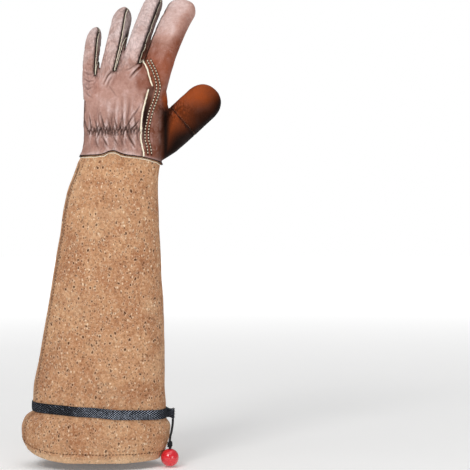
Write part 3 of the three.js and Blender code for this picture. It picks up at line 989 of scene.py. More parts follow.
@dataclass(frozen=True)
class Digit:
    """One digit's sleeve: its centreline, size and shape, in millimetres, degrees and shares."""

    name: str
    base: tuple[float, float, float]
    middle: tuple[float, float, float]
    tip: tuple[float, float, float]
    width: float
    depth: float
    turn: float
    tip_from: float
    narrow: float
    seam: float

    def line(self, shares: Array) -> tuple[Array, Array]:
        """Points and directions of the centreline, at shares of its length.

        Args:
            shares: Shares of its length.

        Returns:
            The points and the directions.
        """
        base, middle, tip = (np.array(p, float) for p in (self.base, self.middle, self.tip))
        control = 2 * middle - (base + tip) / 2
        t = np.linspace(0, 1, 400)[:, None]
        dense = (1 - t) ** 2 * base + 2 * t * (1 - t) * control + t * t * tip
        run = run_of(dense)
        at = np.interp(np.clip(shares, 0, 1) * run[-1], run, t[:, 0])[:, None]
        point = (1 - at) ** 2 * base + 2 * at * (1 - at) * control + at * at * tip
        ahead = unit(2 * (1 - at) * (control - base) + 2 * at * (tip - control))
        return point + ahead * ((shares - np.clip(shares, 0, 1)) * run[-1])[:, None], ahead

    def length(self) -> float:
        """Length of the centreline."""
        points, _ = self.line(np.linspace(0, 1, 200))
        return float(run_of(points)[-1])

    def frames(self, shares: Array) -> tuple[Array, Array, Array, Array]:
        """Centre, direction, side towards the thumb and back, at shares of the length.

        Args:
            shares: Shares of its length.

        Returns:
            The centres and the three directions.
        """
        centre, along = self.line(shares)
        turn = math.radians(self.turn)
        facing = np.array([-math.sin(turn), -math.cos(turn), 0])
        back = unit(facing - along * (along @ facing)[:, None])
        return centre, along, np.cross(along, back), back

    def taper(self, share: Array) -> Array:
        """Half size at a share of the length, as a share of the full one.

        Args:
            share: Shares of the length.

        Returns:
            The sizes.
        """
        root = 1 - 0.14 * np.maximum(0, 1 - share / 0.2)
        body = root * (1 - (1 - self.narrow) * np.minimum(share / self.tip_from, 1))
        turn = np.clip((share - self.tip_from) / (1 - self.tip_from), 0, 1)
        return np.where(share <= self.tip_from, body, self.narrow * np.sqrt(np.maximum(0, 1 - turn**2.2)))

    def form(self) -> bmesh.types.BMesh:
        """The digit as a closed tube.

        Returns:
            The tube.
        """
        bm, angle, share = sleeve(56, 90)
        dome = self.tip_from + (1 - self.tip_from) * np.sin((share - 0.5) * math.pi) * 0.9985
        share = np.where(share < 0.5, share * 2 * self.tip_from, dome)
        centre, _, side, back = self.frames(share)
        taper = np.maximum(self.taper(share), 0.02)
        u, v = rounded(angle, taper * self.width / 2, taper * self.depth / 2, DIGIT_ROUNDNESS)
        move_to(bm, centre + side * u[:, None] + back * v[:, None])
        cap(bm)
        return bm

    def locate(self, points: Array) -> tuple[Array, Array, Array, Array]:
        """Finds places in the digit's own terms.

        Args:
            points: Places in millimetres.

        Returns:
            Share of the length, distance towards the thumb, distance towards the back, and how far from
            the centreline as a share of the sleeve's size.
        """
        shares = np.linspace(-0.1, 1.1, 121)
        line, _ = self.line(shares)
        margin = 0.9 * self.width
        close = ((points > line.min(0) - margin) & (points < line.max(0) + margin)).all(1)
        found = [np.full(len(points), far) for far in (-1.0, 0.0, 0.0, 9.0)]
        part = points[close]
        chunks = np.array_split(part, len(part) // 20000 + 1)
        share = shares[np.concatenate([((c[:, None, :] - line[None]) ** 2).sum(2).argmin(1) for c in chunks])]
        centre, along, side, back = self.frames(share)
        share = share + ((part - centre) * along).sum(1) / self.length()
        centre, along, side, back = self.frames(share)
        off = part - centre
        u, v = (off * side).sum(1), (off * back).sum(1)
        size = np.maximum(self.taper(share), 0.3)
        flat, deep = np.abs(u / (size * self.width / 2)), np.abs(v / (size * self.depth / 2))
        reach = (flat**DIGIT_ROUNDNESS + deep**DIGIT_ROUNDNESS) ** (1 / DIGIT_ROUNDNESS)
        for whole, near in zip(found, (share, u, v, reach)):
            whole[close] = near
        return tuple(found)


DIGITS = {
    digit.name: digit
    for digit in (
        Digit("little", (-32, -3, 62), (-31.2, -5, 110), (-28.8, 27, 143.6), 18.8, 17, 20, 0.64, 0.86, 0.72),
        Digit("ring", (-19, -4, 61), (-5, -5, 120), (1, 33, 165.6), 21.4, 19.5, 20, 0.76, 0.96, 0.68),
        Digit("middle", (1.5, -5, 62), (20, -6, 124), (38, 36, 182.5), 22.6, 20, 20, 0.78, 0.92, 0.84),
        Digit("index", (29, -6, 48), (44.9, -11, 111), (69.8, 23, 171.5), 32, 22, 16, 0.89, 1, 0),
        Digit("thumb", (32, 4, 9), (69.8, 7, 42.4), (102.4, 15, 74), 40.4, 29, 0, 0.77, 1, 0),
    )
}

FORK_LINE = ((-60, 86), (-26.5, 86.5), (-4.8, 91.5), (23.3, 100.4))
UPPER_SEAM = ((24.6, 103), (29.7, 94), (31.8, 86.5), (34, 79), (36.1, 73.7))
LOWER_SEAM = (
    (31.5, 71.8), (28.6, 61.9), (27, 55.5), (24.9, 46.9), (23.8, 38.3), (23.3, 27.6), (22.9, 19.1),
    (24.3, 11.6), (25.9, 4.1), (26.2, -14),
)
WELT_END = (26.2, -1.5)
THUMB_SEAM_AT = (65.8, 8.0, 40.0)
THUMB_SEAM_NORMAL = (0.76, 0.0, 0.65)
# The row of stitches beside the seam on the back: x and z
STITCH_ROW = (
    (29.3, 103.6), (33.6, 95), (36.8, 87.5), (39, 80), (40, 73.6), (38.5, 66.1), (35.8, 58.7), (32.6, 50.1),
    (30.5, 42.7), (28.9, 35.2), (27.3, 26.7), (27.3, 18.2), (29.4, 9.7), (30.4, 1.2),
)
# How far right of that line its two rows lie
STITCH_SHIFTS = {"stitches_inner": 0.2, "stitches_outer": 3.9}


@dataclass(frozen=True)
class Crease:
    """A fold pressed into the leather, along a line in the front view."""

    line: tuple[tuple[float, float], ...]
    width: float
    depth: float
    # How dark the fold is: painted shade in its groove.
    painted_shade: float = 0.6


BACK_CREASES = (
    Crease(((23, 97), (17.8, 91.6), (11.4, 84)), 1.0, 1.3, 1.0),
    Crease(((18.5, 99), (10.5, 93), (6, 92)), 0.8, 0.5, 0.5),
    Crease(((-3.8, 89.3), (-9, 90.3), (-13, 86), (-17.5, 77.5)), 1.0, 1.0, 0.9),
    Crease(((-7, 86), (-11, 81), (-14, 74)), 0.9, 0.6, 0.6),
    Crease(((-12, 76), (-8, 70), (-4, 64)), 0.8, 0.4, 0.35),
    Crease(((-22, 62), (-24, 50), (-23, 34)), 1.7, 0.5, 0.15),
    Crease(((-13, 66), (-14, 52), (-13.5, 36)), 1.9, 0.6, 0.15),
    Crease(((-5, 60), (-5.6, 46), (-4.5, 35)), 1.5, 0.6, 0.25),
    Crease(((3, 62), (2.5, 48), (3.5, 34)), 1.6, 0.6, 0.3),
    Crease(((11.5, 60), (9.5, 46), (8, 35)), 1.3, 0.8, 0.5),
    Crease(((10, 26), (16, 31.5), (21.5, 38.5)), 0.9, 1.2, 1.0),
    Crease(((6, 27), (10, 35), (15.5, 45)), 0.8, 1.0, 0.9),
    Crease(((14, 40), (17.5, 46), (21.5, 54)), 0.8, 0.8, 0.7),
    Crease(((0, 28), (1.5, 36), (4, 47)), 0.8, 0.8, 0.7),
    Crease(((-8, 28), (-9, 38), (-6.5, 50)), 0.8, 0.7, 0.6),
    Crease(((-20, 28), (-22.5, 38), (-21.5, 50)), 0.8, 0.6, 0.5),
    Crease(((8.5, 25), (12, 18), (16.5, 9.5)), 1.1, 1.6, 1.0),
    Crease(((16, 28), (20, 20), (22, 12)), 0.9, 0.8, 0.6),
    Crease(((-18.5, 20), (-15.5, 15), (-12.2, 10)), 0.9, 1.0, 0.8),
    Crease(((-8, 24), (-5, 17), (-1, 11)), 1.0, 0.9, 0.7),
    Crease(((-27, 22), (-25.5, 14), (-22, 8)), 1.0, 0.7, 0.5),
    Crease(((1, 22), (3, 15), (6, 9)), 0.9, 0.7, 0.6),
    Crease(((-38, 91), (-34, 88), (-29, 88)), 0.8, 0.5, 0.5),
    Crease(((-38.5, 84), (-34, 80), (-28.5, 81)), 0.8, 0.6, 0.6),
    Crease(((-39, 77), (-35, 72), (-30, 74)), 0.8, 0.6, 0.6),
    Crease(((-38.5, 70), (-34, 65), (-30, 63)), 0.9, 0.5, 0.4),
    Crease(((58, 58), (55, 53), (54, 48)), 1.1, 0.8, 0.6),
    Crease(((62, 55), (59, 50), (58.5, 44)), 1.0, 0.7, 0.6),
    Crease(((66, 50), (63, 46), (63, 41)), 1.0, 0.6, 0.5),
)
PALM_CREASES = (
    Crease(((-38, 62), (-15, 70), (12, 76), (34, 84)), 1.1, 0.9, 0.6),
    Crease(((-36, 50), (-12, 58), (12, 64), (30, 74)), 1.0, 0.7, 0.5),
    Crease(((40, 66), (22, 58), (12, 40), (10, 18)), 1.2, 1.0, 0.6),
    Crease(((-30, 12), (-8, 16), (16, 14)), 1.0, 0.6, 0.4),
    Crease(((-34, 22), (-12, 25), (14, 24)), 0.9, 0.5, 0.4),
    Crease(((-8, 56), (-12, 44), (-10, 30)), 0.9, 0.4, 0.3),
    Crease(((16, 66), (24, 52), (26, 36)), 0.9, 0.4, 0.3),
)


PLEAT_COUNT = 36
PLEAT_START = -37.5
PLEAT_PITCH = 1.75


def pleats() -> tuple[Crease, ...]:
    """The short folds that lean to and fro across the gathered row of the wrist.

    Returns:
        The folds.
    """
    rng = random.Random(23)
    made = []
    for i in range(PLEAT_COUNT):
        x = PLEAT_START + i * PLEAT_PITCH + rng.uniform(-0.6, 0.6)
        lean = (1 if i % 2 else -1) * rng.uniform(1.2, 3.8)
        top, low = rng.uniform(3, 8) if i % 4 else rng.uniform(12, 22), rng.uniform(3, 8)
        middle = (x, GATHER_ROW + 0.5 + rng.uniform(-1, 1))
        line = ((x + lean, GATHER_ROW + top), middle, (x - 0.7 * lean, GATHER_ROW - low))
        made.append(Crease(line, rng.uniform(0.6, 0.9), rng.uniform(0.7, 1.3), rng.uniform(0.7, 1.0)))
    return tuple(made)


class Panel(Enum):
    """The leather panels of the hand, in the order in which they claim the skin."""

    THUMB = "thumb_panel"
    BACK = "back_panel"
    LITTLE_RING = "fourchette_little_ring"
    RING_MIDDLE = "fourchette_ring_middle"
    MIDDLE_INDEX = "fourchette_middle_index"
    PALM = "palm_panel"


GUSSETS = {
    Panel.LITTLE_RING: ("little", "ring"),
    Panel.RING_MIDDLE: ("ring", "middle"),
    Panel.MIDDLE_INDEX: ("middle", "index"),
}
PANEL_FINISH = {
    Panel.THUMB: (Finish.THUMB, "leather_thumb"),
    Panel.BACK: (Finish.BACK, "leather_back"),
    **{gusset: (Finish.GUSSET, "leather_gusset") for gusset in GUSSETS},
    Panel.PALM: (Finish.PALM, "leather_palm"),
}
NUMBER = {panel: number for number, panel in enumerate(Panel)}
# The pair of numbers under which the seams' lines keep the hem
HEM = (-1, -1)


def gather(x: Array, z: Array) -> Array:
    """How deep the elastic gathers pull the back of the wrist in, in millimetres.

    Args:
        x: Places across.
        z: Heights.

    Returns:
        The depths.
    """
    rise = z - GATHER_ROW
    fade = np.where(rise > 0, bell(rise, 24), bell(rise, 17))
    return 1.2 * fade * (0.35 - np.cos(TURN * (x + 4) / 9.5)) * bell(x + 8, 42)


@dataclass
class Relief:
    """How far each place of a surface is pushed out, in millimetres, and how much shade is painted into its
    folds.
    """

    push: Array
    painted_shade: Array

    def press(self, depth: Array, tone: Array | float = 0.0) -> None:
        """Presses places in by a depth and darkens them to a tone of painted shade."""
        self.push = self.push - depth
        self.painted_shade = np.maximum(self.painted_shade, tone)

    def crease(self, gap: Array, width: float, depth: Array | float, tone: Array | float, half: float) -> None:
        """Presses a groove where gap is small, with painted shade to a half width of half."""
        self.press(depth * bell(gap, width), tone * bell(gap, half))


@dataclass(frozen=True)
class Skin:
    """What the folds of the hand depend on, at each place of its skin."""

    points: Array
    edge: Array
    back: Array
    palm: Array

    @classmethod
    def of(cls, points: Array, normals: Array, edge: Array) -> Skin:
        """Reads how far each place faces the back and the palm."""
        facing = normals[:, 1]
        return cls(points, edge, smoothstep(0.05, 0.5, -facing), smoothstep(0.05, 0.5, facing))


# Where each digit bends, as shares of its length
JOINTS = {
    "little": (0.46, 0.72), "ring": (0.44, 0.7), "middle": (0.42, 0.68), "index": (0.46, 0.72),
    "thumb": (0.62,),
}


@dataclass
class LeatherHand:
    """The hand of the glove: one skin, dented and folded, then cut into its panels."""

    voxel: float = 0.72
    segments: int = 150
    rows: int = 110
    seam_depth: float = 0.6
    seam_reach: float = 1.25
    nearest_cut: float = 0.04
    shortest_line: int = 12
    shortest_loop: int = 20
    tree: BVHTree | None = None
    lines: dict[tuple[int, int], list[Array]] = field(default_factory=dict)

    def body_form(self) -> bmesh.types.BMesh:
        """The palm and wrist as a closed form.

        Returns:
            The form.
        """
        bm, angle, share = sleeve(self.segments, self.rows)
        table = table_of(HAND_SECTIONS, "z", "left", "right", "back", "palm", "middle", "slope", "turn")
        knots = table[:, 0]
        at = knots[0] + share * (knots[-1] - knots[0])
        z, left, right, back, palm, middle, slope, turn = hermite(knots, table, at).T
        half, centre = (right - left) / 2, (left + right) / 2
        deep = np.where(np.sin(angle) < 0, back, palm)
        across, out = rounded(angle, half, deep, HAND_ROUNDNESS)
        sideways, towards = leaned(across, out, turn)
        move_to(bm, np.stack([centre + sideways, middle + towards, z + slope * across], 1))
        cap(bm)
        return bm

    def build_skin(self) -> bpy.types.Mesh:
        """Joins the hand and its digits into one smooth skin.

        Returns:
            The skin.
        """
        forms = [self.body_form(), *(digit.form() for digit in DIGITS.values())]
        obj = show(joined((mesh_of(form, "form") for form in forms), "hand_forms"))
        remesh = obj.modifiers.new("skin", "REMESH")
        remesh.mode = "VOXEL"
        remesh.voxel_size = self.voxel * MM
        remesh.adaptivity = 0.0
        mesh = evaluated(obj, "hand_skin")
        bm = bmesh.new()
        bm.from_mesh(mesh)
        for _ in range(5):
            bmesh.ops.smooth_vert(
                bm, verts=bm.verts, factor=0.5, use_axis_x=True, use_axis_y=True, use_axis_z=True)
        bm.to_mesh(mesh)
        bm.free()
        return mesh

    def hem(self, points: Array) -> Array:
        """Height above the wrist hem.

        Args:
            points: Places in millimetres.

        Returns:
            The heights, negative below the hem.
        """
        x, y, z = points.T
        drop = np.maximum(0, x / 44) ** 2
        back = 1 + 4.5 * bell(x + 7, 9) - 7 * drop
        palm = -8 * drop
        side = smoothstep(-9, 9, y)
        return z - (back + (palm - back) * side)

    def field(self, panel: Panel, points: Array) -> Array:
        """Distance of each place to a panel's own bounds, negative inside it. The palm takes what is left.

        Args:
            panel: The panel.
            points: Places in millimetres.

        Returns:
            The distances.
        """
        if panel is Panel.THUMB:
            return self.thumb_field(points)
        if panel is Panel.BACK:
            return self.back_field(points)
        return self.gusset_field(points, *GUSSETS[panel])

    def thumb_field(self, points: Array) -> Array:
        """The thumb beyond its cross seam.

        Args:
            points: Places in millimetres.

        Returns:
            Distances to its bounds, negative inside.
        """
        normal = unit(np.array([THUMB_SEAM_NORMAL]))[0]
        off = points - np.array(THUMB_SEAM_AT)
        sideways = off @ np.array([normal[2], 0, -normal[0]])
        return np.maximum(-(off @ normal), np.abs(sideways) - DIGITS["thumb"].width / 2 - 2.5)

    def back_field(self, points: Array) -> Array:
        """The back of the hand with its strips up three fingers.

        Args:
            points: Places in millimetres.

        Returns:
            Distances to its bounds, negative inside.
        """
        x, y, z = points.T
        outline = [*FORK_LINE, *UPPER_SEAM, *LOWER_SEAM, (FORK_LINE[0][0], LOWER_SEAM[-1][1])]
        back = np.maximum(polygon_field(x, z, outline), y + 4)
        for name in ("little", "ring", "middle"):
            digit = DIGITS[name]
            share, u, v, reach = digit.locate(points)
            strip = np.maximum.reduce([
                u - digit.seam * digit.width / 2, 0.3 * digit.depth / 2 - v, (0.12 - share) * digit.length(),
                (reach - 1.35) * 8,
            ])
            back = np.minimum(back, strip)
        return back

    def gusset_field(self, points: Array, first: str, second: str) -> Array:
        """The gusset between two fingers: a side of each, meeting at their fork.

        Args:
            points: Places in millimetres.
            first: Name of the finger further from the thumb.
            second: Name of the other.

        Returns:
            Distances to its bounds, negative inside.
        """
        digit = DIGITS[first]
        share, u, v, reach = digit.locate(points)
        near = np.maximum.reduce([
            0.4 * digit.width / 2 - u, -0.62 * digit.depth / 2 - v, (0.2 - share) * digit.length(),
            (share - 1.02) * digit.length(), (reach - 1.3) * 8,
        ])
        digit = DIGITS[second]
        share, u, v, reach = digit.locate(points)
        far = np.maximum.reduce([
            u + 0.4 * digit.width / 2, -0.62 * digit.depth / 2 - v, v - 0.6 * digit.depth / 2,
            (0.2 - share) * digit.length(), (share - 1.02) * digit.length(), (reach - 1.3) * 8,
        ])
        return np.minimum(near, far)

    def labels(self, points: Array) -> tuple[Array, Array]:
        """Which panel each place belongs to, and its distance to the nearest seam.

        Args:
            points: Places in millimetres.

        Returns:
            The panels' numbers and the distances.
        """
        order = list(Panel)[:-1]
        fields = [self.field(panel, points) for panel in order]
        label = np.full(len(points), len(order))
        for i in reversed(range(len(order))):
            label = np.where(fields[i] < 0, i, label)
        edge = np.full(len(points), NOWHERE)
        for i, distance in enumerate(fields):
            edge = np.where(label >= i, np.minimum(edge, np.abs(distance)), edge)
        return label, edge

    def seams(self, bm: bmesh.types.BMesh, label: Array) -> dict[tuple[int, int], list[Array]]:
        """Follows the lines where two panels meet, and the hem.

        Args:
            bm: The cut skin.
            label: The panel's number of each face.

        Returns:
            For each pair of panels, lower number first, the lines in millimetres. The hem has its own pair.
        """
        bm.faces.index_update()
        links: dict[tuple[int, int], dict[bmesh.types.BMVert, list[bmesh.types.BMVert]]] = {}
        for edge in bm.edges:
            sides = sorted(int(label[f.index]) for f in edge.link_faces)
            pair = HEM if len(sides) == 1 else tuple(sides)
            if len(sides) == 1 or (len(sides) == 2 and sides[0] != sides[1]):
                for one, two in (edge.verts, reversed(edge.verts)):
                    links.setdefault(pair, {}).setdefault(one, []).append(two)
        found: dict[tuple[int, int], list[Array]] = {}
        for pair, near in links.items():
            left = dict.fromkeys(near)
            while left:
                start = next((v for v in left if len(near[v]) != 2), next(iter(left)))
                chain, here, before = [start], start, None
                left.pop(start)
                while True:
                    ahead = [v for v in near[here] if v in left and v is not before]
                    if not ahead:
                        break
                    before, here = here, ahead[0]
                    left.pop(here)
                    chain.append(here)
                if start in near[here] and len(chain) > self.shortest_loop:
                    chain.append(start)
                if len(chain) > self.shortest_line:
                    found.setdefault(pair, []).append(np.array([v.co for v in chain], float) / MM)
        return found

    def folds(self, skin: Skin) -> tuple[Relief, Array]:
        """All folds of the leather, and how finely puckered each place is.

        Args:
            skin: The skin's places.

        Returns:
            The folds, and how finely puckered each place is.
        """
        points = skin.points
        relief = Relief(0.30 * ripple(points, 17, 1) + 0.16 * ripple(points, 7.5, 2), np.zeros(len(points)))
        self.press_creases(relief, skin)
        self.press_gathers(relief, skin)
        self.press_seams(relief, skin)
        self.press_joints(relief, points)
        pucker = self.puckered(skin)
        self.press_wrinkles(relief, points, pucker)
        relief.painted_shade = np.clip(relief.painted_shade, 0, 1)
        return relief, pucker

    def press_creases(self, relief: Relief, skin: Skin) -> None:
        """Presses the separate folds, each with a low ridge on either side.

        Args:
            relief: The folds so far, to which these are added.
            skin: The skin's places.
        """
        x, _, z = skin.points.T
        wander = 1.6 * ripple(skin.points, 13, 3)
        for creases, facing in ((BACK_CREASES, skin.back), (pleats(), skin.back), (PALM_CREASES, skin.palm)):
            for crease in creases:
                gap, share = line_distance(x + wander * 0.5, z + wander * 0.4, crease.line)
                fade = arch(share, 0.06, 0.94, 0.6) * facing
                half = max(0.7, crease.width * 0.65)
                # Each fold's groove gets painted shade.
                relief.crease(gap, crease.width, crease.depth * fade, crease.painted_shade * fade, half)
                relief.press(-0.6 * crease.depth * fade * bell(gap - 2 * crease.width, crease.width))

    def press_gathers(self, relief: Relief, skin: Skin) -> None:
        """Presses the gathers that an elastic inside the wrist pulls in the back.

        Args:
            relief: The folds so far, to which these are added.
            skin: The skin's places.
        """
        points = skin.points
        x, _, z = points.T
        warp = 2.4 * ripple(points, 16, 7)
        depth = gather(x + warp * 0.8, z + warp)
        row = self.above_gathers(points)
        pleat = ripple(points * np.array([1, 1, 0.45]), 3.4, 9)
        push = -depth - 0.6 * bell(row, 1.6) * bell(x + 8, 40) + 0.5 * pleat * bell(row, 6.5) * bell(x + 8, 36)
        # tone is painted shade in the gathers' hollows and pleats.
        tone = np.clip(0.2 * depth - 0.12, 0, 0.2)
        tone = tone + 0.2 * np.clip(pleat * -1.6, 0, 1) * bell(row, 2.4) * bell(x + 8, 34)
        relief.press(-push * skin.back, tone * skin.back)

    def above_gathers(self, points: Array) -> Array:
        """Height above the gathered row, which wanders a little."""
        return points[:, 2] - GATHER_ROW - 1.3 * ripple(points, 9, 8)

    def press_seams(self, relief: Relief, skin: Skin) -> None:
        """Presses the leather in along its seams, beside the welt and under the rows of stitches.

        Args:
            relief: The folds so far, to which these are added.
            skin: The skin's places.
        """
        x, _, z = skin.points.T
        finger = smoothstep(84, 92, z)
        # Painted shade along every seam, darker between the fingers.
        relief.press(self.seam_depth * bell(skin.edge, self.seam_reach),
                     (0.5 + 0.45 * finger) * bell(skin.edge, 0.55 + 0.45 * finger))
        relief.press(-0.22 * ripple(skin.points, 2.6, 5) * bell(skin.edge, 3.2))
        # The valley right of the lower welt, darkened with painted shade.
        valley, along = line_distance(x, z, [(px + 3.4, pz) for px, pz in LOWER_SEAM[:8]])
        fade = skin.back * arch(along, 0.12, 0.98, 0.5)
        relief.press(1.4 * bell(valley, 2.1) * fade,
                     smoothstep(4.4 - 1.8 * along, 1.9 - 0.6 * along, valley) * fade)
        # Painted shade along both stitch rows.
        for shift in STITCH_SHIFTS.values():
            row, _ = line_distance(x, z, [(px + shift, pz) for px, pz in STITCH_ROW])
            relief.crease(row, 1.0, 0.35 * skin.back, 0.9 * skin.back, 1.0)

    def press_joints(self, relief: Relief, points: Array) -> None:
        """Presses short folds where each digit bends, on the palm's side.

        Args:
            relief: The folds so far, to which these are added.
            points: Places in millimetres.
        """
        wave = 0.9 * ripple(points, 8, 11)
        for name, joints in JOINTS.items():
            digit = DIGITS[name]
            share, _, v, reach = digit.locate(points)
            near = smoothstep(1.2, 1.0, reach) if name == "thumb" else smoothstep(1.35, 1.1, reach)
            near = near * smoothstep(0.1, 0.7, -v / (digit.depth / 2))
            for joint in joints:
                # Each fold at a joint gets painted shade.
                for step, depth in ((-3.2, 0.35), (0.0, 0.75), (3.0, 0.4)):
                    gap = (share - joint) * digit.length() + step + wave
                    relief.crease(gap, 1.0, depth * near, 0.5 * depth * near, 0.7)

    def puckered(self, skin: Skin) -> Array:
        """How finely puckered the leather is: by the gathers, the seams, the thumb and the little finger.

        Args:
            skin: The skin's places.

        Returns:
            A share from 0 to 1 for each place.
        """
        x, _, z = skin.points.T
        return np.maximum.reduce([
            0.8 * bell(self.above_gathers(skin.points), 7) * bell(x + 6, 38) * skin.back,
            0.35 * bell(z - 20, 34) * skin.back * bell(x + 6, 42),
            0.7 * bell(skin.edge, 3.0),
            0.75 * bell(np.hypot((x - 58) / 1.4, z - 50), 12),
            0.36 * bell(np.hypot(x + 35, (z - 82) / 1.6), 10),
            0.3 * skin.palm * smoothstep(0.2, 0.6, ripple(skin.points, 30, 14) + 0.4),
        ])

    def press_wrinkles(self, relief: Relief, points: Array, pucker: Array) -> None:
        """Presses a net of fine upright wrinkles where the leather is puckered.

        Args:
            relief: The folds so far, to which these are added.
            points: Places in millimetres.
            pucker: How finely puckered each place is.
        """
        drawn = points * np.array([1, 1, 0.5])
        for pitch, seed, depth in ((7.5, 61, 0.9), (4.6, 62, 0.6)):
            valley = 1 - np.clip(np.abs(ripple(drawn, pitch, seed)) / 0.16, 0, 1)
            # The wrinkles' valleys get painted shade.
            relief.press(depth * valley**1.5 * pucker, 0.75 * valley**2 * pucker)
            relief.press(-0.5 * depth * bell(valley - 0.25, 0.2) * pucker)

    def tones_with_painted_light(self, points: Array, normals: Array) -> dict[str, Array]:
        """The leather's own tones, with light and shade painted in.

        Args:
            points: Places in millimetres.
            normals: Outward directions.

        Returns:
            zone, from pale through mauve to brown, its pale end partly painted highlight; rust, the red-brown
            of the thumb; deep, painted shade on the thumb's underside and heel, where it is darkest.
        """
        x, _, z = points.T
        swirl = ripple(points, 22, 13)
        share, u, _, reach = DIGITS["index"].locate(points)
        on_index = smoothstep(1.5, 1.1, reach) * smoothstep(0.05, 0.2, share)
        # On the index: palest near the tip, partly as painted highlight, browner lower down, and darker towards
        # its thumb side as painted shade.
        index = 0.1 + 0.2 * smoothstep(0.92, 0.74, share) + 0.7 * smoothstep(0.69, 0.36, share)
        index = index + 0.4 * smoothstep(0.25, 1.0, u / 16)
        wrap = smoothstep(24, 31, x) * smoothstep(100, 70, z)
        # Paler up the fingers, partly as painted highlight where the leather's sheen catches the light.
        fingers = smoothstep(84, 128, z)
        zone = 0.53 - 0.41 * fingers + 0.4 * wrap
        zone = zone + 0.1 * smoothstep(-22, -27, x) * smoothstep(95, 120, z)
        zone = zone - 0.25 * bell(np.hypot(x + 34, z - 80), 16)
        zone = zone * (1 - on_index) + index * on_index
        zone = zone + 0.3 * smoothstep(0.0, 0.7, normals[:, 1]) + 0.14 * swirl
        rust = np.maximum.reduce([
            smoothstep(42, 49, x) * smoothstep(74, 58, z),
            smoothstep(54, 60, x) * smoothstep(106, 99, z),
            0.42 * bell(np.hypot(x + 34, z - 80), 13),
            0.35 * bell(share - 0.36, 0.11) * on_index,
            0.35 * smoothstep(0.1, 0.8, normals[:, 1]),
        ])
        # deep: painted shade on the thumb's underside and heel, which face away from the light.
        below = (x - 44) * 0.64 - (z - 24) * 0.77
        deep = smoothstep(-17, 19, below + 6 * swirl) * smoothstep(43, 50, x)
        deep = np.maximum(deep, bell(x - 49, 8) * smoothstep(64, 46, z))
        return {"zone": np.clip(zone, 0, 1), "rust": np.clip(rust, 0, 1), "deep": np.clip(deep, 0, 1)}

    def cut_lines(self, bm: bmesh.types.BMesh, values: Array) -> None:
        """Splits the faces of a skin along the line where values pass zero.

        Args:
            bm: The bmesh.
            values: A number for each of its points.
        """
        off_line = np.where(values >= 0, self.nearest_cut, -self.nearest_cut)
        value = dict(zip(bm.verts, np.where(np.abs(values) < self.nearest_cut, off_line, values)))
        crossing = [e for e in bm.edges if value[e.verts[0]] * value[e.verts[1]] < 0]
        fresh: dict[bmesh.types.BMVert, None] = {}
        for edge in crossing:
            start = edge.verts[0]
            share = value[start] / (value[start] - value[edge.verts[1]])
            _, vert = bmesh.utils.edge_split(edge, start, share)
            fresh[vert] = None
        for face in dict.fromkeys(f for v in fresh for f in v.link_faces):
            pair = [v for v in face.verts if v in fresh]
            if len(pair) == 2:
                bmesh.utils.face_split(face, pair[0], pair[1])
        cut = dict.fromkeys(f for v in fresh for f in v.link_faces if len(f.verts) > 4)
        bmesh.ops.triangulate(bm, faces=list(cut))

    def folded(self) -> bmesh.types.BMesh:
        """The skin with its folds, carrying the numbers that its materials read.

        Returns:
            The skin as a bmesh.
        """
        mesh = self.build_skin()
        points, normals = points_of(mesh), normals_of(mesh)
        _, edge = self.labels(points)
        relief, pucker = self.folds(Skin.of(points, normals, edge))
        push = relief.push + 0.5 * bell(self.hem(points) - 1.0, 2.2)
        # Paler on the ridges, partly wear and partly painted highlight.
        wear_and_highlight = np.clip(push * 0.7, 0, 0.75) * (1 - relief.painted_shade)
        tones = {**self.tones_with_painted_light(points, normals), "crease": relief.painted_shade, "wear_and_highlight": wear_and_highlight, "pucker": pucker}
        bm = bmesh.new()
        bm.from_mesh(mesh)
        bpy.data.meshes.remove(mesh)
        for name in tones:
            bm.verts.layers.float.new(name)
        layers = [bm.verts.layers.float[name] for name in tones]
        bm.verts.ensure_lookup_table()
        places = (points + normals * push[:, None]) * MM
        for vert, place, numbers in zip(bm.verts, places, zip(*tones.values())):
            vert.co = place
            for layer, number in zip(layers, numbers):
                vert[layer] = number
        return bm

    def build(self) -> None:
        """Makes the skin, folds it, and cuts it into the panels."""
        bm = self.folded()
        self.cut_lines(bm, self.hem(coordinates(bm) / MM))
        below = self.hem(np.array([f.calc_center_median() for f in bm.faces]) / MM) < 0
        bmesh.ops.delete(bm, geom=[f for f, low in zip(list(bm.faces), below) if low], context="FACES")
        for panel in list(Panel)[:-1]:
            bm.verts.ensure_lookup_table()
            self.cut_lines(bm, self.field(panel, coordinates(bm) / MM))
        bmesh.ops.recalc_face_normals(bm, faces=bm.faces)
        self.tree = BVHTree.FromBMesh(bm)
        centres = np.array([f.calc_center_median() for f in bm.faces]) / MM
        label, _ = self.labels(centres)
        self.lines = self.seams(bm, label)
        for panel in Panel:
            self.panel(bm, label, panel)
        bm.free()

    def panel(self, bm: bmesh.types.BMesh, label: Array, panel: Panel) -> None:
        """Takes one panel out of the cut skin and gives it its wall.

        Args:
            bm: The cut skin, which is left as it is.
            label: The panel's number of each face.
            panel: The panel.
        """
        part = bm.copy()
        part.faces.ensure_lookup_table()
        others = [f for f, mine in zip(list(part.faces), label == NUMBER[panel]) if not mine]
        bmesh.ops.delete(part, geom=others, context="FACES")
        finish, slot = PANEL_FINISH[panel]
        obj = show(mesh_of(part, panel.value + "_leather"), finish.material(), Finish.FLESH.material())
        add_wall(obj, SIZES.hand_wall, lining=1)
        finish_piece(obj, slot, [panel.value])

    def hem_lines(self) -> list[Array]:
        """The lines of the wrist's hem, without short scraps."""
        return [line for line in self.lines.get(HEM, []) if len(line) >= 80]

    def settle(self, path: Array) -> tuple[Array, Array]:
        """The places on the leather nearest to a path, and the outward directions there."""
        return nearest(self.tree, path)

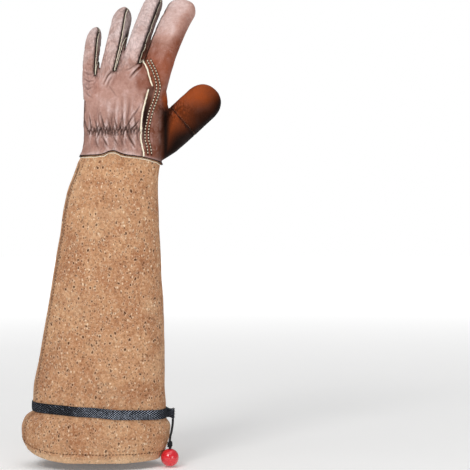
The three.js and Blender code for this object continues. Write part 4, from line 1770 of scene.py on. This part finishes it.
    def on_back(self, x: float, z: float) -> tuple[Vector, Vector]:
        """The place and outward direction of the back of the hand behind a point of the front view.

        Args:
            x: Place across.
            z: Height.

        Returns:
            The place and the direction.
        """
        hit, normal, _, _ = self.tree.ray_cast(Vector((x, -80, z)) * MM, Vector((0, 1, 0)))
        if hit is None:
            hit, normal, _, _ = self.tree.find_nearest(Vector((x, -20, z)) * MM)
        if normal.y > 0:
            normal = -normal
        return hit / MM, normal


# The camera, the light and the floor


@dataclass(frozen=True)
class Lamp:
    """A square soft lamp: where it stands and aims, in metres, its side, power and colour."""

    name: str
    place: tuple[float, float, float]
    aim: tuple[float, float, float]
    size: float
    power: float
    colour: Colour = (1.0, 1.0, 1.0)

    def build(self) -> None:
        """Makes the lamp."""
        data = bpy.data.lights.new(self.name, "AREA")
        data.shape, data.size, data.energy, data.color = "SQUARE", self.size, self.power, self.colour
        obj = bpy.data.objects.new(self.name, data)
        obj.location = self.place
        obj.rotation_euler = (Vector(self.aim) - Vector(self.place)).to_track_quat("-Z", "Y").to_euler()
        bpy.context.scene.collection.objects.link(obj)


LAMPS = (
    Lamp("key", (-0.75, -1.7, 1.15), (0, 0, -0.05), 0.7, 18, (1.0, 0.99, 0.97)),
    Lamp("overhead", (-0.3, -0.8, 3.4), (0, 0, -0.3), 4.0, 55),
    Lamp("fill", (1.3, -1.7, -0.1), (0, 0, -0.15), 0.9, 11),
)


@dataclass
class Studio:
    """The photograph's view, soft studio light and a plain pale floor."""

    eye: tuple[float, float, float] = (123.9, -1500.0, -84.8)
    lens: float = 105.7
    floor_height: float = -334.6
    floor_radius: float = 14.0
    soft_light: float = 0.30

    def camera(self) -> None:
        """Makes the camera at the photograph's viewing angle."""
        data = bpy.data.cameras.new("camera")
        data.lens, data.sensor_width = self.lens, 36
        data.clip_start, data.clip_end = 0.05, 60
        obj = bpy.data.objects.new("camera", data)
        obj.location = Vector(self.eye) * MM
        obj.rotation_euler = (math.radians(90), 0, 0)
        bpy.context.scene.collection.objects.link(obj)
        bpy.context.scene.camera = obj

    def surroundings(self) -> None:
        """Makes the world: a white backdrop that lights the glove only softly."""
        world = bpy.data.worlds.new("studio")
        world.use_nodes = True
        tree = world.node_tree
        seen = tree.nodes.new("ShaderNodeLightPath").outputs["Is Camera Ray"]
        strength = tree.nodes.new("ShaderNodeMapRange")
        strength.inputs["To Min"].default_value = self.soft_light
        strength.inputs["To Max"].default_value = 1.0
        tree.links.new(seen, strength.inputs["Value"])
        tree.links.new(strength.outputs["Result"], tree.nodes["Background"].inputs["Strength"])
        tree.nodes["Background"].inputs["Color"].default_value = (1.0, 1.0, 1.0, 1.0)
        bpy.context.scene.world = world

    def build(self) -> None:
        """Makes the lamps, the world's light and the floor."""
        bpy.context.scene.view_settings.view_transform = "Standard"
        self.surroundings()
        for lamp in LAMPS:
            lamp.build()
        bm = bmesh.new()
        bmesh.ops.create_circle(bm, cap_ends=True, segments=96, radius=self.floor_radius)
        bmesh.ops.translate(bm, verts=bm.verts, vec=(0, 0, self.floor_height * MM))
        n = Nodes("floor")
        tone = n.mix(n.noise(3, 3), srgb(246, 246, 246), srgb(252, 252, 252))
        away = n.node("ShaderNodeVectorMath", {0: n.place}, operation="LENGTH").outputs["Value"]
        glow = n.plus(n.ramp(away, 0.4, 3.0, 0.12, 0.62), n.ramp(away, 3.0, 7.0, 0.0, 0.4))
        n.tree.links.new(glow, n.shader.inputs["Emission Strength"])
        floor = show(mesh_of(bm, "floor"), n.finish(tone, 0.9, None, {"Emission Color": (1.0, 1.0, 1.0, 1.0)}))


# The cuff


@dataclass(frozen=True)
class CuffSection:
    """One section down the cuff."""

    z: float
    left: float
    right: float
    back: float
    palm: float
    sloped: float
    raised: float


# Height at which the cuff's own sections start, below the wrist
NECK_FOOT = -9.6
CUFF_MIDDLE = np.array([-30.5, 0, 0])
CUFF_ROUNDNESS = 2.15
FLAT = np.array([1, 1, 0])


def cuff_table() -> tuple[CuffSection, ...]:
    """The cuff's sections from the wrist to the hem.

    Returns:
        The sections.
    """
    upper = ((0.035, -47.5, 42.2, 24.2, 24.8), (0.075, -51.5, 40.9, 26.4, 27), (0.12, -56.4, 40.2, 29, 29.4),
             (0.2, -61.6, 40.8, 31, 31), (0.31, -66, 41.8, 32.8, 33), (0.44, -72.4, 44, 34.8, 35),
             (0.57, -78.2, 46, 37, 37), (0.71, -84.6, 46.8, 39.4, 39), (0.84, -90.6, 47.4, 41.8, 41),
             (0.925, -94.4, 48, 43.2, 42.4), (0.975, -95.4, 48.6, 42.8, 42))
    skirt = ((0.13, -95.6, 49, 42.8, 42), (0.22, -101.6, 52.4, 44.4, 43.6), (0.42, -106.4, 53, 46.4, 45.2),
             (0.68, -107.6, 50.8, 47, 46), (0.88, -106.6, 47.2, 46.6, 45.8), (1.0, -104.6, 43.6, 46, 45.4))
    band, height = SIZES.band_height, SIZES.cuff_length + SIZES.band_height
    return (
        *(CuffSection(down * band, *sides, down**4, 0) for down, *sides in upper),
        *(CuffSection(band - down * height, *sides, 1 - down, down**1.5) for down, *sides in skirt),
    )


# Soft dents and swells of the suede: degrees round the cuff, share down to the band, width in degrees,
# length and depth in millimetres
CUFF_DENTS = (
    (232, 0.9, 26, 34, 1.6), (300, 0.55, 30, 60, 1.4), (250, 0.32, 28, 50, -1.2), (60, 0.5, 34, 70, 2.2),
    (120, 0.75, 30, 60, 1.8), (95, 0.15, 40, 30, 1.6),
)
CUFF_CREASES = (
    Crease(((-66, -246), (-55, -252), (-44, -258)), 0.9, 0.7, 0.4),
    Crease(((-60, -240), (-50, -243)), 0.7, 0.4, 0.4),
)


@dataclass
class SuedeCuff:
    """The long cuff: a tube of split suede with a side seam and a turned-up hem."""

    segments: int = 190
    rows: int = 190
    seam_angle: float = 193.0
    tuck_inset: float = 2.6
    fold_radius: float = 1.7
    tree: BVHTree | None = None

    def outside(self, angle: Array, z: Array, out: float = 0.0) -> Array:
        """Points of the cuff's outside.

        Args:
            angle: Directions round it, in radians.
            z: Heights before the hem's slope is added.
            out: How far to stand off the suede.

        Returns:
            The points in millimetres.
        """
        table = table_of(cuff_table()[::-1], "z", "left", "right", "back", "palm", "sloped", "raised")
        level = np.clip(z, table[0, 0], NECK_FOOT - 0.01)
        _, left, right, back, palm, sloped, raised = hermite(table[:, 0], table, level).T
        degrees = np.degrees(angle)
        dent = np.zeros(len(angle))
        for around, down, width, length, depth in CUFF_DENTS:
            turn = (degrees - around + 180) % 360 - 180
            dent += depth * bell(turn, width) * bell(z - SIZES.band_height * down, length)
        half, centre = (right - left) / 2 + out, (left + right) / 2
        deep = np.where(np.sin(angle) < 0, back, palm) + out
        across, flat = rounded(angle, half - dent, deep - dent, CUFF_ROUNDNESS)
        x = centre + across
        near = np.clip((left + SIZES.hem_corner_reach - x) / SIZES.hem_corner_reach, 0, 1)
        rise = sloped * SIZES.band_slope * x + raised * SIZES.hem_corner * (1 - np.sqrt(1 - near**2 * 0.999))
        return np.stack([x, flat, z + rise], 1)

    def tucked(self, angle: Array, z: Array) -> Array:
        """Points of the part of the cuff that reaches up inside the hand.

        Args:
            angle: Directions round it, in radians.
            z: Heights.

        Returns:
            The points in millimetres.
        """
        table = table_of(HAND_SECTIONS[:6], "z", "left", "right", "back", "palm", "turn")
        _, left, right, back, palm, turn = hermite(table[:, 0], table, z).T
        inset = self.tuck_inset
        deep = np.where(np.sin(angle) < 0, back, palm) - inset
        across, out = rounded(angle, (right - left) / 2 - inset, deep, HAND_ROUNDNESS)
        out = out + np.clip(-2 * out / deep, 0, 1) * gather((left + right) / 2 + across, z)
        sideways, towards = leaned(across, out, turn)
        return np.stack([(left + right) / 2 + sideways, towards, z], 1)

    def surface(self, angle: Array, share: Array) -> Array:
        """Points of the folded suede, from its top inside the hand to the end of its turned-up hem.

        Args:
            angle: Directions round it, in radians.
            share: Shares of the way down the sheet.

        Returns:
            The points in millimetres.
        """
        bottom = -SIZES.cuff_length
        stations = np.array([SIZES.cuff_tuck, 0, NECK_FOOT, bottom])
        run = stations[0] - stations
        fold = math.pi * self.fold_radius
        s = share * (run[-1] + fold + SIZES.hem_depth)
        z = np.interp(s, run, stations)
        neck = self.outside(angle, np.minimum(z, NECK_FOOT))
        neck[:, 2] += z - np.minimum(z, NECK_FOOT)
        blend = smoothstep(NECK_FOOT, 0.0, z)[:, None]
        points = neck * (1 - blend) + self.tucked(angle, np.maximum(z, 0)) * blend
        beyond = s > run[-1]
        turn = np.clip((s[beyond] - run[-1]) / fold, 0, 1) * math.pi
        up = np.maximum(0, s[beyond] - run[-1] - fold)
        rim = self.outside(angle[beyond], np.full(beyond.sum(), bottom))
        depth = self.fold_radius * (1 - np.cos(turn))
        rise = up - self.fold_radius * np.sin(turn) * 0.8
        points[beyond] = rim + unit((CUFF_MIDDLE - rim) * FLAT) * depth[:, None]
        points[beyond, 2] += rise
        return points

    def relief(self, points: Array, angle: Array) -> Relief:
        """How far the suede swells in each direction round the cuff, and how much shade is painted into its
        folds.

        Args:
            points: Places in millimetres.
            angle: Directions round it, in radians.

        Returns:
            The swells and folds.
        """
        z = points[:, 2]
        level = z - SIZES.band_height - SIZES.band_slope * points[:, 0]
        free = 1 - bell(level, 8)
        swells = 0.7 * ripple(points, 46, 21) + 0.35 * ripple(points, 19, 22) + 0.12 * ripple(points, 5, 23)
        push = swells * free
        push += 0.35 * np.cos(angle * 19 + 2.5 * ripple(points, 60, 24)) * bell(np.abs(level) - 11, 7)
        push += 0.45 * np.cos(angle * 26 + 2 * ripple(points, 30, 25)) * bell(z + 4, 9) * smoothstep(4, -2, z)
        seam = (np.degrees(angle) - self.seam_angle + 180) % 360 - 180
        across = np.radians(seam) * np.hypot(points[:, 0] + 30, points[:, 1])
        below = smoothstep(-4, -12, z)
        relief = Relief(push, np.zeros(len(points)))
        # Painted shade along the side seam and in the creases.
        relief.crease(across, 1.1, 1.1 * below, 0.75 * below, 0.8)
        relief.press(-0.35 * bell(np.abs(across) - 3.2, 1.6) * below)
        for crease in CUFF_CREASES:
            gap, along = line_distance(points[:, 0], z, crease.line)
            fade = arch(along, 0.05, 0.95, 0.5) * (points[:, 1] < 0)
            relief.crease(gap, crease.width, crease.depth * fade, crease.painted_shade * fade, crease.width * 0.6)
        return relief

    def build(self) -> None:
        """Makes the cuff."""
        bm, angle, share = sleeve(self.segments, self.rows)
        points = self.surface(angle, share)
        move_to(bm, points)
        bmesh.ops.reverse_faces(bm, faces=bm.faces)
        mesh = mesh_of(bm, "cuff_suede")
        relief = self.relief(points, angle)
        folded = points + normals_of(mesh) * (relief.push * smoothstep(16, 8, points[:, 2]))[:, None]
        mesh.vertices.foreach_set("co", (folded * MM).astype(np.float32).ravel())
        mesh.update()
        rim = smoothstep(7, 1, self.rise_above_rim(angle, folded))
        # crease carries painted shade; wear_and_highlight is paler near the rim and on the swells, partly wear
        # and partly painted highlight.
        set_value(mesh, "crease", relief.painted_shade)
        set_value(mesh, "wear_and_highlight", np.clip(0.35 * rim + 0.25 * relief.push, 0, 0.6))
        shape = bmesh.new()
        shape.from_mesh(mesh)
        self.tree = BVHTree.FromBMesh(shape)
        shape.free()
        obj = show(mesh, Finish.SUEDE.material())
        add_wall(obj, SIZES.cuff_wall)
        finish_piece(obj, "suede", ["cuff"])

    def rise_above_rim(self, angle: Array, points: Array) -> Array:
        """Height of places above the cuff's rim in the same direction."""
        return points[:, 2] - self.outside(angle, np.full(len(angle), -SIZES.cuff_length))[:, 2]

    def hem_row(self, height: float, count: int = 400) -> Array:
        """A closed row of points on the suede at a height above the rim."""
        angle = np.linspace(0, TURN, count, endpoint=False)
        return self.outside(angle, np.full(count, -SIZES.cuff_length + height))

    def seam_line(self, offset: float, count: int = 420) -> Array:
        """Points down the cuff beside its side seam.

        Args:
            offset: Distance beside the seam, in millimetres.
            count: How many points.

        Returns:
            The points.
        """
        z = np.linspace(-10, -SIZES.cuff_length + SIZES.hem_depth, count)
        angle = np.full(count, math.radians(self.seam_angle))
        radius = np.hypot(self.outside(angle, z)[:, 0] + 30, 8)
        return self.outside(angle + offset / radius, z)


# Stitches, the band and the bead


@dataclass
class StitchRow:
    """A row of thread stitches that dip in and out of the leather."""

    name: str
    length: float = 2.3
    pitch: float = 2.9
    radius: float = 0.36
    lift: float = 0.3
    shift: float = 0.0

    def build(self, rows: Sequence[tuple[Array, Array]], finish: Finish) -> None:
        """Lays stitches along paths on the leather.

        Args:
            rows: For each row its points, close together, and the outward directions there.
            finish: The thread's finish.
        """
        places, axes = [], []
        for path, normals in rows:
            run = run_of(path)
            count = int(run[-1] / self.pitch)
            at = (np.arange(count) + 0.5 + self.shift) * run[-1] / max(count, 1)
            place, ahead, out = (
                np.stack([np.interp(at + further, run, column) for column in table.T], 1)
                for further, table in ((0, path), (0.6, path), (0, normals))
            )
            out = unit(out)
            side = unit(np.cross(out, ahead - place))
            half = (np.cross(side, out) * self.length / 2, side * self.radius, out * self.radius * 0.9)
            axes.append(np.stack(half, 1))
            places.append(place + out * self.radius * self.lift)
        places, axes = np.concatenate(places), np.concatenate(axes)
        stitch = bmesh.new()
        bmesh.ops.create_uvsphere(stitch, u_segments=8, v_segments=5, radius=1.0)
        ball = coordinates(stitch)
        mesh = repeated(stitch, len(places), self.name)
        spots = np.einsum("vi,kij->kvj", ball, axes) + places[:, None, :]
        mesh.vertices.foreach_set("co", (spots * MM).astype(np.float32).ravel())
        mesh.update()
        finish_piece(show(mesh, finish.material()))


def evened(path: Array, step: float, smooth: int = 3) -> Array:
    """A path at even steps, with its corners softened.

    Args:
        path: Points in millimetres.
        step: Distance between the new points.
        smooth: How often each point is moved towards its neighbours.

    Returns:
        The new points.
    """
    run = run_of(path)
    count = max(4, int(run[-1] / step))
    even = np.stack([np.interp(np.linspace(0, run[-1], count), run, column) for column in path.T], 1)
    for _ in range(smooth):
        even[1:-1] = even[1:-1] * 0.5 + (even[:-2] + even[2:]) * 0.25
    return even


SHOWN_SEAMS = frozenset((NUMBER[Panel.BACK], NUMBER[gusset]) for gusset in GUSSETS)
BACK_AND_PALM = (NUMBER[Panel.BACK], NUMBER[Panel.PALM])


@dataclass
class PanelSeams:
    """The seams between the panels: a dark tube in each gap as painted shade, a raw edge on those that show,
    and stitches beside them.
    """

    hand: LeatherHand
    radius: float = 0.36
    gap: float = 0.62
    margin: float = 1.6
    fewest: int = 55

    def lines(self) -> list[tuple[tuple[int, int], Array]]:
        """The seams without the one on the back that has its welts.

        Returns:
            For each seam its pair of panels and its points.
        """
        kept = []
        for pair, chains in self.hand.lines.items():
            for chain in chains if pair != HEM else ():
                path = evened(chain, 0.7, 4)
                if len(path) < self.fewest:
                    continue
                x, y, z = path.T
                gap = np.minimum(*(line_distance(x, z, line)[0] for line in (UPPER_SEAM, LOWER_SEAM)))
                free = ~((gap < 2.2) & (y < -3) & (pair == BACK_AND_PALM))
                for run in np.split(np.arange(len(path)), np.flatnonzero(np.diff(free.astype(int))) + 1):
                    if free[run[0]] and len(run) > 14:
                        kept.append((pair, path[run]))
        return kept

    def tubes(
        self, name: str, paths: list[tuple[Array, Array]], radius: float, finish: Finish, slot: str
    ) -> None:
        """Sweeps thin tubes along paths, sunk a little into the leather.

        Args:
            name: Name of the piece.
            paths: Points and outward directions of each.
            radius: Radius of the tubes.
            finish: Their finish.
            slot: The record's slot for it.
        """
        sunk = (
            points + normals * (0.35 * radius * ripple(points, 3.1, 41)[:, None] - radius * 0.25)
            for points, normals in paths
        )
        mesh = joined((thread_tube(path, radius, 8, "strand") for path in sunk), name)
        finish_piece(show(mesh, finish.material()), slot)

    def build(self) -> None:
        """Makes the raw edges, the stitches, the dark tubes of painted shade in the seams' gaps and the painted
        shadow line under the hand's hem.
        """
        gaps, quiet, edges, rows = [], [], [], []
        for pair, path in self.lines():
            points, normals = self.hand.settle(path)
            (gaps if pair in SHOWN_SEAMS else quiet).append((points, normals))
            side = np.cross(normals, unit(np.gradient(points, axis=0)))
            rows.append(self.hand.settle(points + side * self.margin))
            if pair in SHOWN_SEAMS:
                middle = points.mean(0)
                towards = 1 if (side.mean(0)[0] > 0) == (middle[0] < 100) else -1
                edges.append(self.hand.settle(points + side * towards * (self.gap + 0.35)))
        # Dark tubes sunk in the seams: painted shade in their gaps.
        self.tubes("finger_seam_gap_shade", gaps, self.gap, Finish.PAINTED_SHADE_LINE, "leather_gusset")
        self.tubes("panel_seam_gap_shade", quiet, 0.6 * self.gap, Finish.PAINTED_SHADE_LINE, "leather_palm")
        self.tubes("panel_seam_edges", edges, self.radius, Finish.EDGE, "raw_edge")
        StitchRow("panel_seam_stitches", 1.6, 2.4, 0.24).build(rows, Finish.BROWN_THREAD)
        # A dark tube along the hand's hem: the painted shadow that the hem casts on the cuff.
        hems = [self.hand.settle(evened(chain, 0.8, 3)) for chain in self.hand.hem_lines()]
        self.tubes("hand_hem_shadow_line", hems, 0.55, Finish.PAINTED_SHADE_LINE, "leather_back")


@dataclass
class BackSeam:
    """The seam on the back of the hand: raw welts that stand up, with two rows of stitches beside them."""

    hand: LeatherHand
    width: float = 1.7
    height: float = 1.5
    step: float = 0.6
    roundness: float = 3.4

    def path(self, line: Line, offset: float = 0.0) -> tuple[Array, Array]:
        """Follows a front-view line over the leather.

        Args:
            line: Points of the line, x and z.
            offset: How far to move it to the right.

        Returns:
            Points on the leather and outward directions there, both smoothed.
        """
        flat = np.array(line, float)
        run = run_of(flat)
        smooth = hermite(run, flat, np.arange(0, run[-1], self.step))
        hits = [self.hand.on_back(x + offset, z) for x, z in smooth]
        points = np.array([hit for hit, _ in hits])
        normals = np.array([normal for _, normal in hits])
        kernel = np.ones(5) / 5
        for table in (points, normals):
            for column in range(3):
                padded = np.pad(table[:, column], 2, mode="edge")
                table[:, column] = np.convolve(padded, kernel, mode="valid")
        return points, unit(normals)

    def welt(self, name: str, line: Line) -> None:
        """A strip of raw leather that stands up along the seam.

        Args:
            name: The CAD node that it stands for.
            line: Points of the line, x and z.
        """
        points, normals = self.path(line)
        rows = len(points) - 1
        bm, angle, share = sleeve(14, rows)
        row = np.rint(share * rows).astype(int)
        side = np.cross(unit(np.gradient(points, axis=0)), normals)
        u, v = rounded(angle, self.width / 2, self.height, self.roundness)
        wobble = 0.16 * ripple(points, 3.5, 31)[row]
        ends = np.clip(np.minimum(share, 1 - share) * rows / 2.0 + 0.35, 0, 1)
        move_to(bm, points[row] + side[row] * ((u + wobble) * ends)[:, None]
                + normals[row] * (v * ends - 0.2 + 0.5 * wobble)[:, None])
        cap(bm)
        finish_piece(show(mesh_of(bm, name + "_edge"), Finish.EDGE.material()), "raw_edge", [name])

    def build(self) -> None:
        """Makes the two welts and their rows of stitches."""
        self.welt("seam_welt_upper", UPPER_SEAM)
        self.welt("seam_welt_lower", [*LOWER_SEAM[:-1], WELT_END])
        for name, shift in STITCH_SHIFTS.items():
            rows = [self.path(STITCH_ROW, shift)]
            StitchRow(name, 2.2, 3.2, 0.6, 0.55).build(rows, Finish.SEAM_THREAD)
            # Dark spheres between the stitches: painted shade in the needle holes.
            StitchRow(name + "_holes", 1.7, 3.2, 0.85, 0.05, 0.5).build(rows, Finish.PAINTED_SHADE_LINE)


@dataclass
class CuffStitches:
    """The stitches of the cuff's hem and side seam."""

    cuff: SuedeCuff
    hem_height: float = 8.2

    def settle(self, path: Array) -> tuple[Array, Array]:
        """Moves a path onto the suede and reads the outward directions there.

        Args:
            path: Points in millimetres.

        Returns:
            The points and the directions.
        """
        points, normals = nearest(self.cuff.tree, path)
        outward = ((points - CUFF_MIDDLE) * normals * FLAT).sum(1)
        return points, normals * np.where(outward < 0, -1, 1)[:, None]

    def build(self) -> None:
        """Makes the rows."""
        row = self.cuff.hem_row(self.hem_height)
        hem, seam = np.concatenate([row, row[:1]]), self.cuff.seam_line(3.0)
        StitchRow("hem_stitches", 2.2, 3.5, 0.45).build([self.settle(hem)], Finish.HEM_THREAD)
        StitchRow("side_seam_stitches", 2.2, 3.4, 0.42).build([self.settle(seam)], Finish.HEM_THREAD)


@dataclass
class CuffTop:
    """The pale line along the cuff just under the hand's hem, where the suede turns in and catches the light: a
    painted highlight.
    """

    cuff: SuedeCuff
    drop: float = 1.7
    radius: float = 0.5

    def build(self, hand: LeatherHand) -> None:
        """Makes the painted highlight line along the hem of a hand.

        Args:
            hand: The hand.
        """
        on_suede = CuffStitches(self.cuff)
        strands = []
        for line in hand.hem_lines():
            points, _ = on_suede.settle(evened(line, 1.0, 4) - np.array([0, 0, self.drop]))
            points = evened(points, 1.0, 3)
            strands.append(points + 0.12 * ripple(points, 4, 51)[:, None])
        # A pale tube in the raw edge's finish: painted highlight.
        mesh = joined((thread_tube(path, self.radius, 8, "strand") for path in strands), "cuff_top_highlight_line")
        finish_piece(show(mesh, Finish.EDGE.material()), "raw_edge")


@dataclass
class ElasticBand:
    """The woven elastic round the cuff, sewn to itself in a short frayed tail."""

    cuff: SuedeCuff
    segments: int = 320
    profile: int = 44
    ribs: int = 5
    tail: float = 9.0
    tail_thickness: float = 3.6
    roundness: float = 3.2
    girth: float = 300.0
    frays: int = 46

    def build(self) -> None:
        """Makes the band, its tail and the loose threads at its end."""
        self.loop()
        self.tail_piece()
        self.fray()

    def profile_at(self, angle: Array, thickness: float) -> tuple[Array, Array]:
        """The band's ribbed section: distance out and height, at an angle round the section.

        Args:
            angle: Directions round it, in radians.
            thickness: Thickness in millimetres.

        Returns:
            The distances out and the heights.
        """
        up, out = rounded(angle, SIZES.band_width / 2, thickness / 2, self.roundness)
        wave = np.abs(np.sin(up / SIZES.band_width * math.pi * self.ribs))
        rib = 0.16 * wave * (np.abs(out) > thickness * 0.3)
        return out + np.sign(out) * (rib - 0.1), up

    def loop(self) -> None:
        """The band itself."""
        bm, angle, share = sleeve(self.profile, self.segments)
        out, up = self.profile_at(angle, SIZES.band_thickness)
        around = share * TURN
        height = np.full(len(angle), SIZES.band_height)
        inner = self.cuff.outside(around, height, SIZES.band_clear)
        outer = self.cuff.outside(around, height, SIZES.band_clear + 1)
        sag = 0.35 * np.sin(around * 3 + 1) + 0.25 * np.sin(around * 7)
        points = inner + unit((outer - inner) * FLAT) * (out + SIZES.band_thickness / 2)[:, None]
        points[:, 2] = SIZES.band_height + SIZES.band_slope * points[:, 0] + up + sag
        move_to(bm, points)
        flat_uv(bm, share * self.girth, up)
        bmesh.ops.remove_doubles(bm, verts=bm.verts, dist=1e-6)
        bmesh.ops.recalc_face_normals(bm, faces=bm.faces)
        obj = show(mesh_of(bm, "elastic_band_woven"), Finish.ELASTIC.material())
        finish_piece(obj, "elastic", ["elastic_band"])

    def edge(self) -> Vector:
        """Where the tail leaves the cuff.

        Returns:
            The place in millimetres.
        """
        height = np.array([SIZES.band_height])
        point = self.cuff.outside(np.array([0.0]), height, SIZES.band_clear + 0.9)[0]
        return Vector((point[0], 0, SIZES.band_height + SIZES.band_slope * point[0]))

    def tail_piece(self) -> None:
        """The two sewn ends that stand out beside the cuff."""
        bm, angle, share = sleeve(self.profile, 26)
        out, up = self.profile_at(angle, self.tail_thickness)
        edge = self.edge()
        pinch = 1 - 0.28 * bell(share - 0.45, 0.16)
        x = edge.x - 1.6 + share * (self.tail + 1.4)
        curl = 0.45 * np.sin(share * 5 + 0.4)
        z = edge.z + SIZES.band_slope * (x - edge.x) + up * (1 + 0.06 * np.sin(share * 9)) + curl
        move_to(bm, np.stack([x, out * pinch - 0.4 * share, z], 1))
        flat_uv(bm, x, up)
        cap(bm)
        finish_piece(show(mesh_of(bm, "elastic_tail"), Finish.ELASTIC.material()), "elastic")

    def fray(self) -> None:
        """Loose threads at the end of the tail."""
        rng = random.Random(7)
        edge = self.edge()
        t = np.linspace(0, 1, 7)[:, None]
        threads = []
        for _ in range(self.frays):
            height = rng.uniform(-1, 1) * SIZES.band_width * 0.5
            start = np.array([edge.x + self.tail - 1.4 - rng.uniform(0, 1.5), rng.uniform(-1.5, 1.5),
                              edge.z + SIZES.band_slope * self.tail + height])
            reach = rng.uniform(1.2, 3.4)
            aim = np.array([rng.uniform(0.5, 1.0), rng.uniform(-0.5, 0.5), rng.uniform(-0.7, 0.5)])
            aim[2] += height * 0.06
            bend = np.array([0, rng.uniform(-0.8, 0.8), rng.uniform(-1.2, 0.4)])
            threads.append(start + aim * reach * t + bend * t**2)
        mesh = joined((thread_tube(path, 0.16, 6, "fray") for path in threads), "elastic_frayed_threads")
        finish_piece(show(mesh, Finish.CORD.material()), "elastic")


# The cord's route from the band's tail into the bead, the bead's middle and the knot's foot
CORD_ROUTE = (
    (56.4, 0, -284.4), (56.3, -1.2, -288.5), (55.9, -4.5, -293), (55.1, -9, -298), (54.1, -13.4, -302.5),
    (53.8, -15, -306.5), (53.8, -15, -312), (53.8, -15, -324),
)
BEAD_MIDDLE = (53.8, -15, -324.2)
KNOT_FOOT = (53.8, -15, -314.2)


@dataclass
class Toggle:
    """The bead on its cord below the band's tail."""

    diameter: float = 2.5
    bead_diameter: float = 19.5
    bead_squash: float = 0.985
    bore: float = 4.2
    path: Array = field(init=False)
    length: float = field(init=False)

    def cord(self) -> bpy.types.Object:
        """The cord from the tail into the bead.

        Returns:
            The cord's object.
        """
        knots = np.array(CORD_ROUTE, float)
        run = run_of(knots)
        self.path = hermite(run, knots, np.linspace(0, run[-1], 90))
        self.length = float(run_of(self.path)[-1])
        mesh = thread_tube(self.path, self.diameter / 2, 20, "toggle_cord_braid")
        obj = show(mesh, Finish.CORD.material())
        finish_piece(obj, "cord", ["toggle_cord"])
        return obj

    def knot(self) -> bpy.types.Object:
        """The knot above the bead: the cord wound round itself.

        Returns:
            The knot's object.
        """
        t = np.linspace(0, 1, 170)
        turns = t * TURN * 3.4
        spread = 1.75 + 0.18 * np.sin(t * math.pi)
        spread = spread * (1 - 0.45 * smoothstep(0.86, 1.0, t)) * (1 - 0.45 * smoothstep(0.14, 0.0, t))
        x, y, z = KNOT_FOOT
        path = np.stack([x + spread * np.cos(turns), y + spread * np.sin(turns), z + 1.0 + t * 6.2], 1)
        obj = show(thread_tube(path, 1.02, 14, "cord_knot_wound"), Finish.CORD.material())
        finish_piece(obj, "cord", ["cord_knot"])
        return obj

    def bead(self) -> bpy.types.Object:
        """The lacquered bead, with the hole that takes the cord.

        Returns:
            The bead's object.
        """
        radius, hole = self.bead_diameter / 2, self.bore / 2
        top = math.sqrt(radius**2 - hole**2)
        start = math.asin(hole / radius)
        profile = [(0.0, -3.0), (hole * 0.98, -3.0), (hole, top - 1.4), (hole + 0.12, top - 0.55)]
        for angle in np.linspace(start + 0.05, math.pi - 0.001, 42):
            profile.append((radius * math.sin(angle), radius * math.cos(angle) * self.bead_squash))
        bm = bmesh.new()
        verts = [bm.verts.new((r, 0, z)) for r, z in profile]
        edges = [bm.edges.new(pair) for pair in zip(verts, verts[1:])]
        bmesh.ops.spin(
            bm, geom=verts + edges, cent=(0, 0, 0), axis=(0, 0, 1), angle=TURN, steps=64, use_merge=True)
        bmesh.ops.remove_doubles(bm, verts=bm.verts, dist=1e-3)
        bmesh.ops.recalc_face_normals(bm, faces=bm.faces)
        bmesh.ops.translate(bm, verts=bm.verts, vec=BEAD_MIDDLE)
        bmesh.ops.scale(bm, verts=bm.verts, vec=(MM, MM, MM))
        obj = show(mesh_of(bm, "toggle_bead_lacquered"), Finish.BEAD.material())
        finish_piece(obj, "bead", ["toggle_bead"])
        return obj

    def build(self) -> None:
        """Makes the cord, its knot and its bead."""
        cord = self.cord()
        on_cord = [self.knot(), self.bead()]


def main() -> None:
    """Builds the gauntlet's looks in order."""
    logging.basicConfig(level=logging.INFO, format="%(message)s")
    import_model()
    studio = Studio()
    studio.camera()
    Toggle().build()
    hand = LeatherHand()
    hand.build()
    BackSeam(hand).build()
    PanelSeams(hand).build()
    cuff = SuedeCuff()
    cuff.build()
    CuffStitches(cuff).build()
    CuffTop(cuff).build(hand)
    ElasticBand(cuff).build()
    studio.build()


if __name__ == "__main__":
    main()
